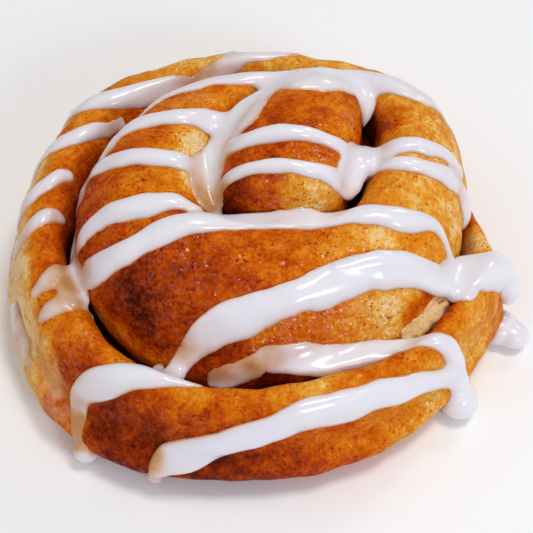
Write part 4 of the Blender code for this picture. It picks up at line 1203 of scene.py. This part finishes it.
# %% Number the icing's points by thickness
SYRUP_AND_SHADE = [  # x, y, how far it reaches, how much of the icing's white is missing
    # (-36.4, -33.5), (-34.6, -35) and (-20.8, -40.5), at the drops at the front foot, are partly
    # thin syrupy icing, partly painted shade.
    (-36.4, -33.5, 3.6, 0.75), (-34.6, -35, 3, 0.7), (-38, -29.5, 4, 0.5), (-36.5, -9, 4, 0.5),
    (-40, -11, 5, 0.35), (-37, -15, 4, 0.4), (-50, 1.6, 3, 0.5), (-48, -13, 7, 0.45),
    (-11.6, 3.5, 3, 0.85), (-12, 8, 3.5, 0.5), (-9, 3, 2, 0.4), (-10, -27, 4.5, 0.5),
    (-3, -28.6, 3.5, 0.3), (-19.5, -26, 3, 0.5), (-8, 45, 8, 0.1), (-20.8, -40.5, 3.6, 1),
    (-37.5, 3, 3, 0.5), (0.5, -26, 4.5, 0.5), (-43, 4.5, 4, 0.15), (-48, 1, 4, 0.2),
    (-40.5, 15.2, 3, 0.4), (-14.5, 41, 4, 0.5), (-15.6, -25.6, 3, 0.45), (-11, 10, 5, 0.2),
]
MOST_MISSING = 0.95  # of its white
thickness = np.clip(depths(icing) / MM, 0, None)
missing = np.clip(summed(places_of(icing), SYRUP_AND_SHADE), 0, MOST_MISSING)
give(icing, "milky", thickness * (1 - missing))
print("icing up to", thickness.max().round(1), "mm thick")

# %% [markdown]
# ## The icing's finish
#
# Set sugar icing is a smooth glaze: white with a faint cool cast where it is thick, beige where
# it is thin, and glossy, because its skin dried in a flat film. Light goes into it and comes out
# near by, which softens its shade. That is what subsurface scattering does.

# %% Sugar icing
sugar, tree, shader = material("sugar_icing")
milky_and_shaded_at = add(tree, "Attribute", attribute_name="milky").outputs["Fac"]
at = add(tree, "TexCoord").outputs["Object"]
clouds = add(tree, "TexNoise", {"Vector": at, "Scale": per_mm(4.0), "Detail": 3.0})
cloud = add(tree, "MapRange", {"Value": clouds.outputs["Fac"], "From Min": 0.3, "From Max": 0.7,
                               "To Min": -0.05, "To Max": 0.05})
depth = add(tree, "MapRange", {"Value": milky_and_shaded_at, "From Max": 2.0})  # 1 is 2 mm thick
level = add(tree, "Math", {0: depth.outputs["Result"], 1: cloud.outputs["Result"]},
            operation="ADD")
white = add(tree, "ValToRGB", {"Fac": level.outputs[0]}, stops=[
    (0, "#c48a52"), (0.07, "#d4a985"), (0.15, "#dfc6ba"), (0.28, "#e6dedf"), (0.7, "#ebe9ee"),
])
ripples = add(tree, "TexNoise", {"Vector": at, "Scale": per_mm(5.0), "Detail": 1.0})
soft = add(tree, "Bump", {"Strength": 0.2, "Distance": 0.3 * MM, "Height": ripples.outputs["Fac"]})
feed(tree, shader, {
    "Base Color": white.outputs["Color"], "Roughness": 0.16, "IOR": 1.47,
    "Normal": soft.outputs["Normal"],
    "Subsurface Weight": 0.4, "Subsurface Scale": 1.2 * MM, "Subsurface Radius": (1.0, 0.8, 0.7),
})
icing.data.materials.append(sugar)
print("sugar icing:", len(tree.nodes), "nodes")

# %% [markdown]
# ## Cinnamon filling
#
# Butter, brown sugar and ground cinnamon, baked to a dark sticky paste, with lumps of a
# millimetre and a dull shine. The solid from the frame has the right shape, so it only gets its
# finish. The syrup that ran out of it is the same stuff.

# %% Cinnamon filling
paste, tree, shader = material("baked_cinnamon_paste")
at = add(tree, "TexCoord").outputs["Object"]
lumps = add(tree, "TexNoise", {"Vector": at, "Scale": per_mm(1.2), "Detail": 4.0})
brown = add(tree, "ValToRGB", {"Fac": lumps.outputs["Fac"]},
            stops=[(0.3, "#210a03"), (0.7, "#4f1d09")])
lumpy = add(tree, "Bump", {"Strength": 0.8, "Distance": 0.4 * MM, "Height": lumps.outputs["Fac"]})
feed(tree, shader, {
    "Base Color": brown.outputs["Color"], "Roughness": 0.6, "Specular IOR Level": 0.12,
    "Normal": lumpy.outputs["Normal"],
})
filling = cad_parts["cinnamon_filling"]
filling.data.materials.clear()
filling.data.materials.append(paste)
seam_syrup.data.materials.append(paste)
print("paste on", filling.name, "and", seam_syrup.name)

# %% [markdown]
# ## Floor
#
# A plain pale floor, matt like paper, wide enough to reach out of the picture. One flat grid is
# all it needs. It is only there for the picture, so it is staged and not part of the roll.

# %% Floor
FLOOR_REACH = 1.5  # metres to each side
floor_bm = bmesh.new()
bmesh.ops.create_grid(floor_bm, x_segments=2, y_segments=2, size=FLOOR_REACH)
floor = finished("floor", floor_bm)
floor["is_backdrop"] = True
pale, tree, shader = material("pale_floor")
feed(tree, shader, {"Base Color": linear("#fdfdfc"), "Roughness": 0.8})
floor.data.materials.append(pale)
print("floor", 2 * FLOOR_REACH, "m wide")

# %% [markdown]
# ## Light
#
# A glaze shows its shape only by what it mirrors, so food is lit by a few soft lamps and not by
# one bare bulb. The main one hangs nearly overhead, a little to the right, like a window in a
# roof. A small one at the right and behind draws the edges out, and another at the right and in
# front draws the long highlights on the icing and the glints in the wet crust. A wide one from
# the right and in front, a wide one from the left and an even sky fill the shade.

# %% Light
LAMPS = [  # name, where it stands and how wide it is in metres, watts, colour
    ("window", (0.228, 0.02, 0.92), 0.25, 2.9, "#fffbf4"),
    ("side_window", (0.45, 0.58, 0.60), 0.16, 0.9, "#fffbf4"),
    ("front_window", (0.34, -0.55, 0.42), 0.15, 1.4, "#ecf2ff"),
    ("fill", (0.4, -0.6, 0.65), 1.5, 1.7, "#eff4ff"),
    ("left", (-0.7, -0.1, 0.6), 1.2, 1.9, "#fffaf4"),
]
AIM = Vector((0, 0, 0.02))  # the middle of the roll
SKY = {"Color": linear("#f2f4ff"), "Strength": 0.32}


def soft_light(name, place, size, watts, colour):
    """A square lamp that shines on the roll."""
    data = bpy.data.lights.new(name, "AREA")
    data.size = size
    data.energy = watts
    data.color = linear(colour)[:3]
    made = bpy.data.objects.new(name, data)
    bpy.context.scene.collection.objects.link(made)
    made.location = Vector(place)
    made.rotation_euler = (AIM - made.location).to_track_quat("-Z", "Y").to_euler()


for lamp in LAMPS:
    soft_light(*lamp)
world = bpy.data.worlds.new("studio")
world.use_nodes = True
feed(world.node_tree, world.node_tree.nodes["Background"], SKY)
bpy.context.scene.world = world
bpy.context.scene.view_settings.view_transform = "Standard"
print(len(LAMPS), "lamps,", round(sum(lamp[3] for lamp in LAMPS), 1), "W in all")

# %% [markdown]
# ## Finish
#
# The box round the dressed roll is written beside the box round the solids, to compare them.

# %% Finish
dressed_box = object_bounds()
for label, box in (("solids", cad_box), ("dressed", dressed_box)):
    print(label, [[round(v / MM, 1) for v in corner] for corner in box])
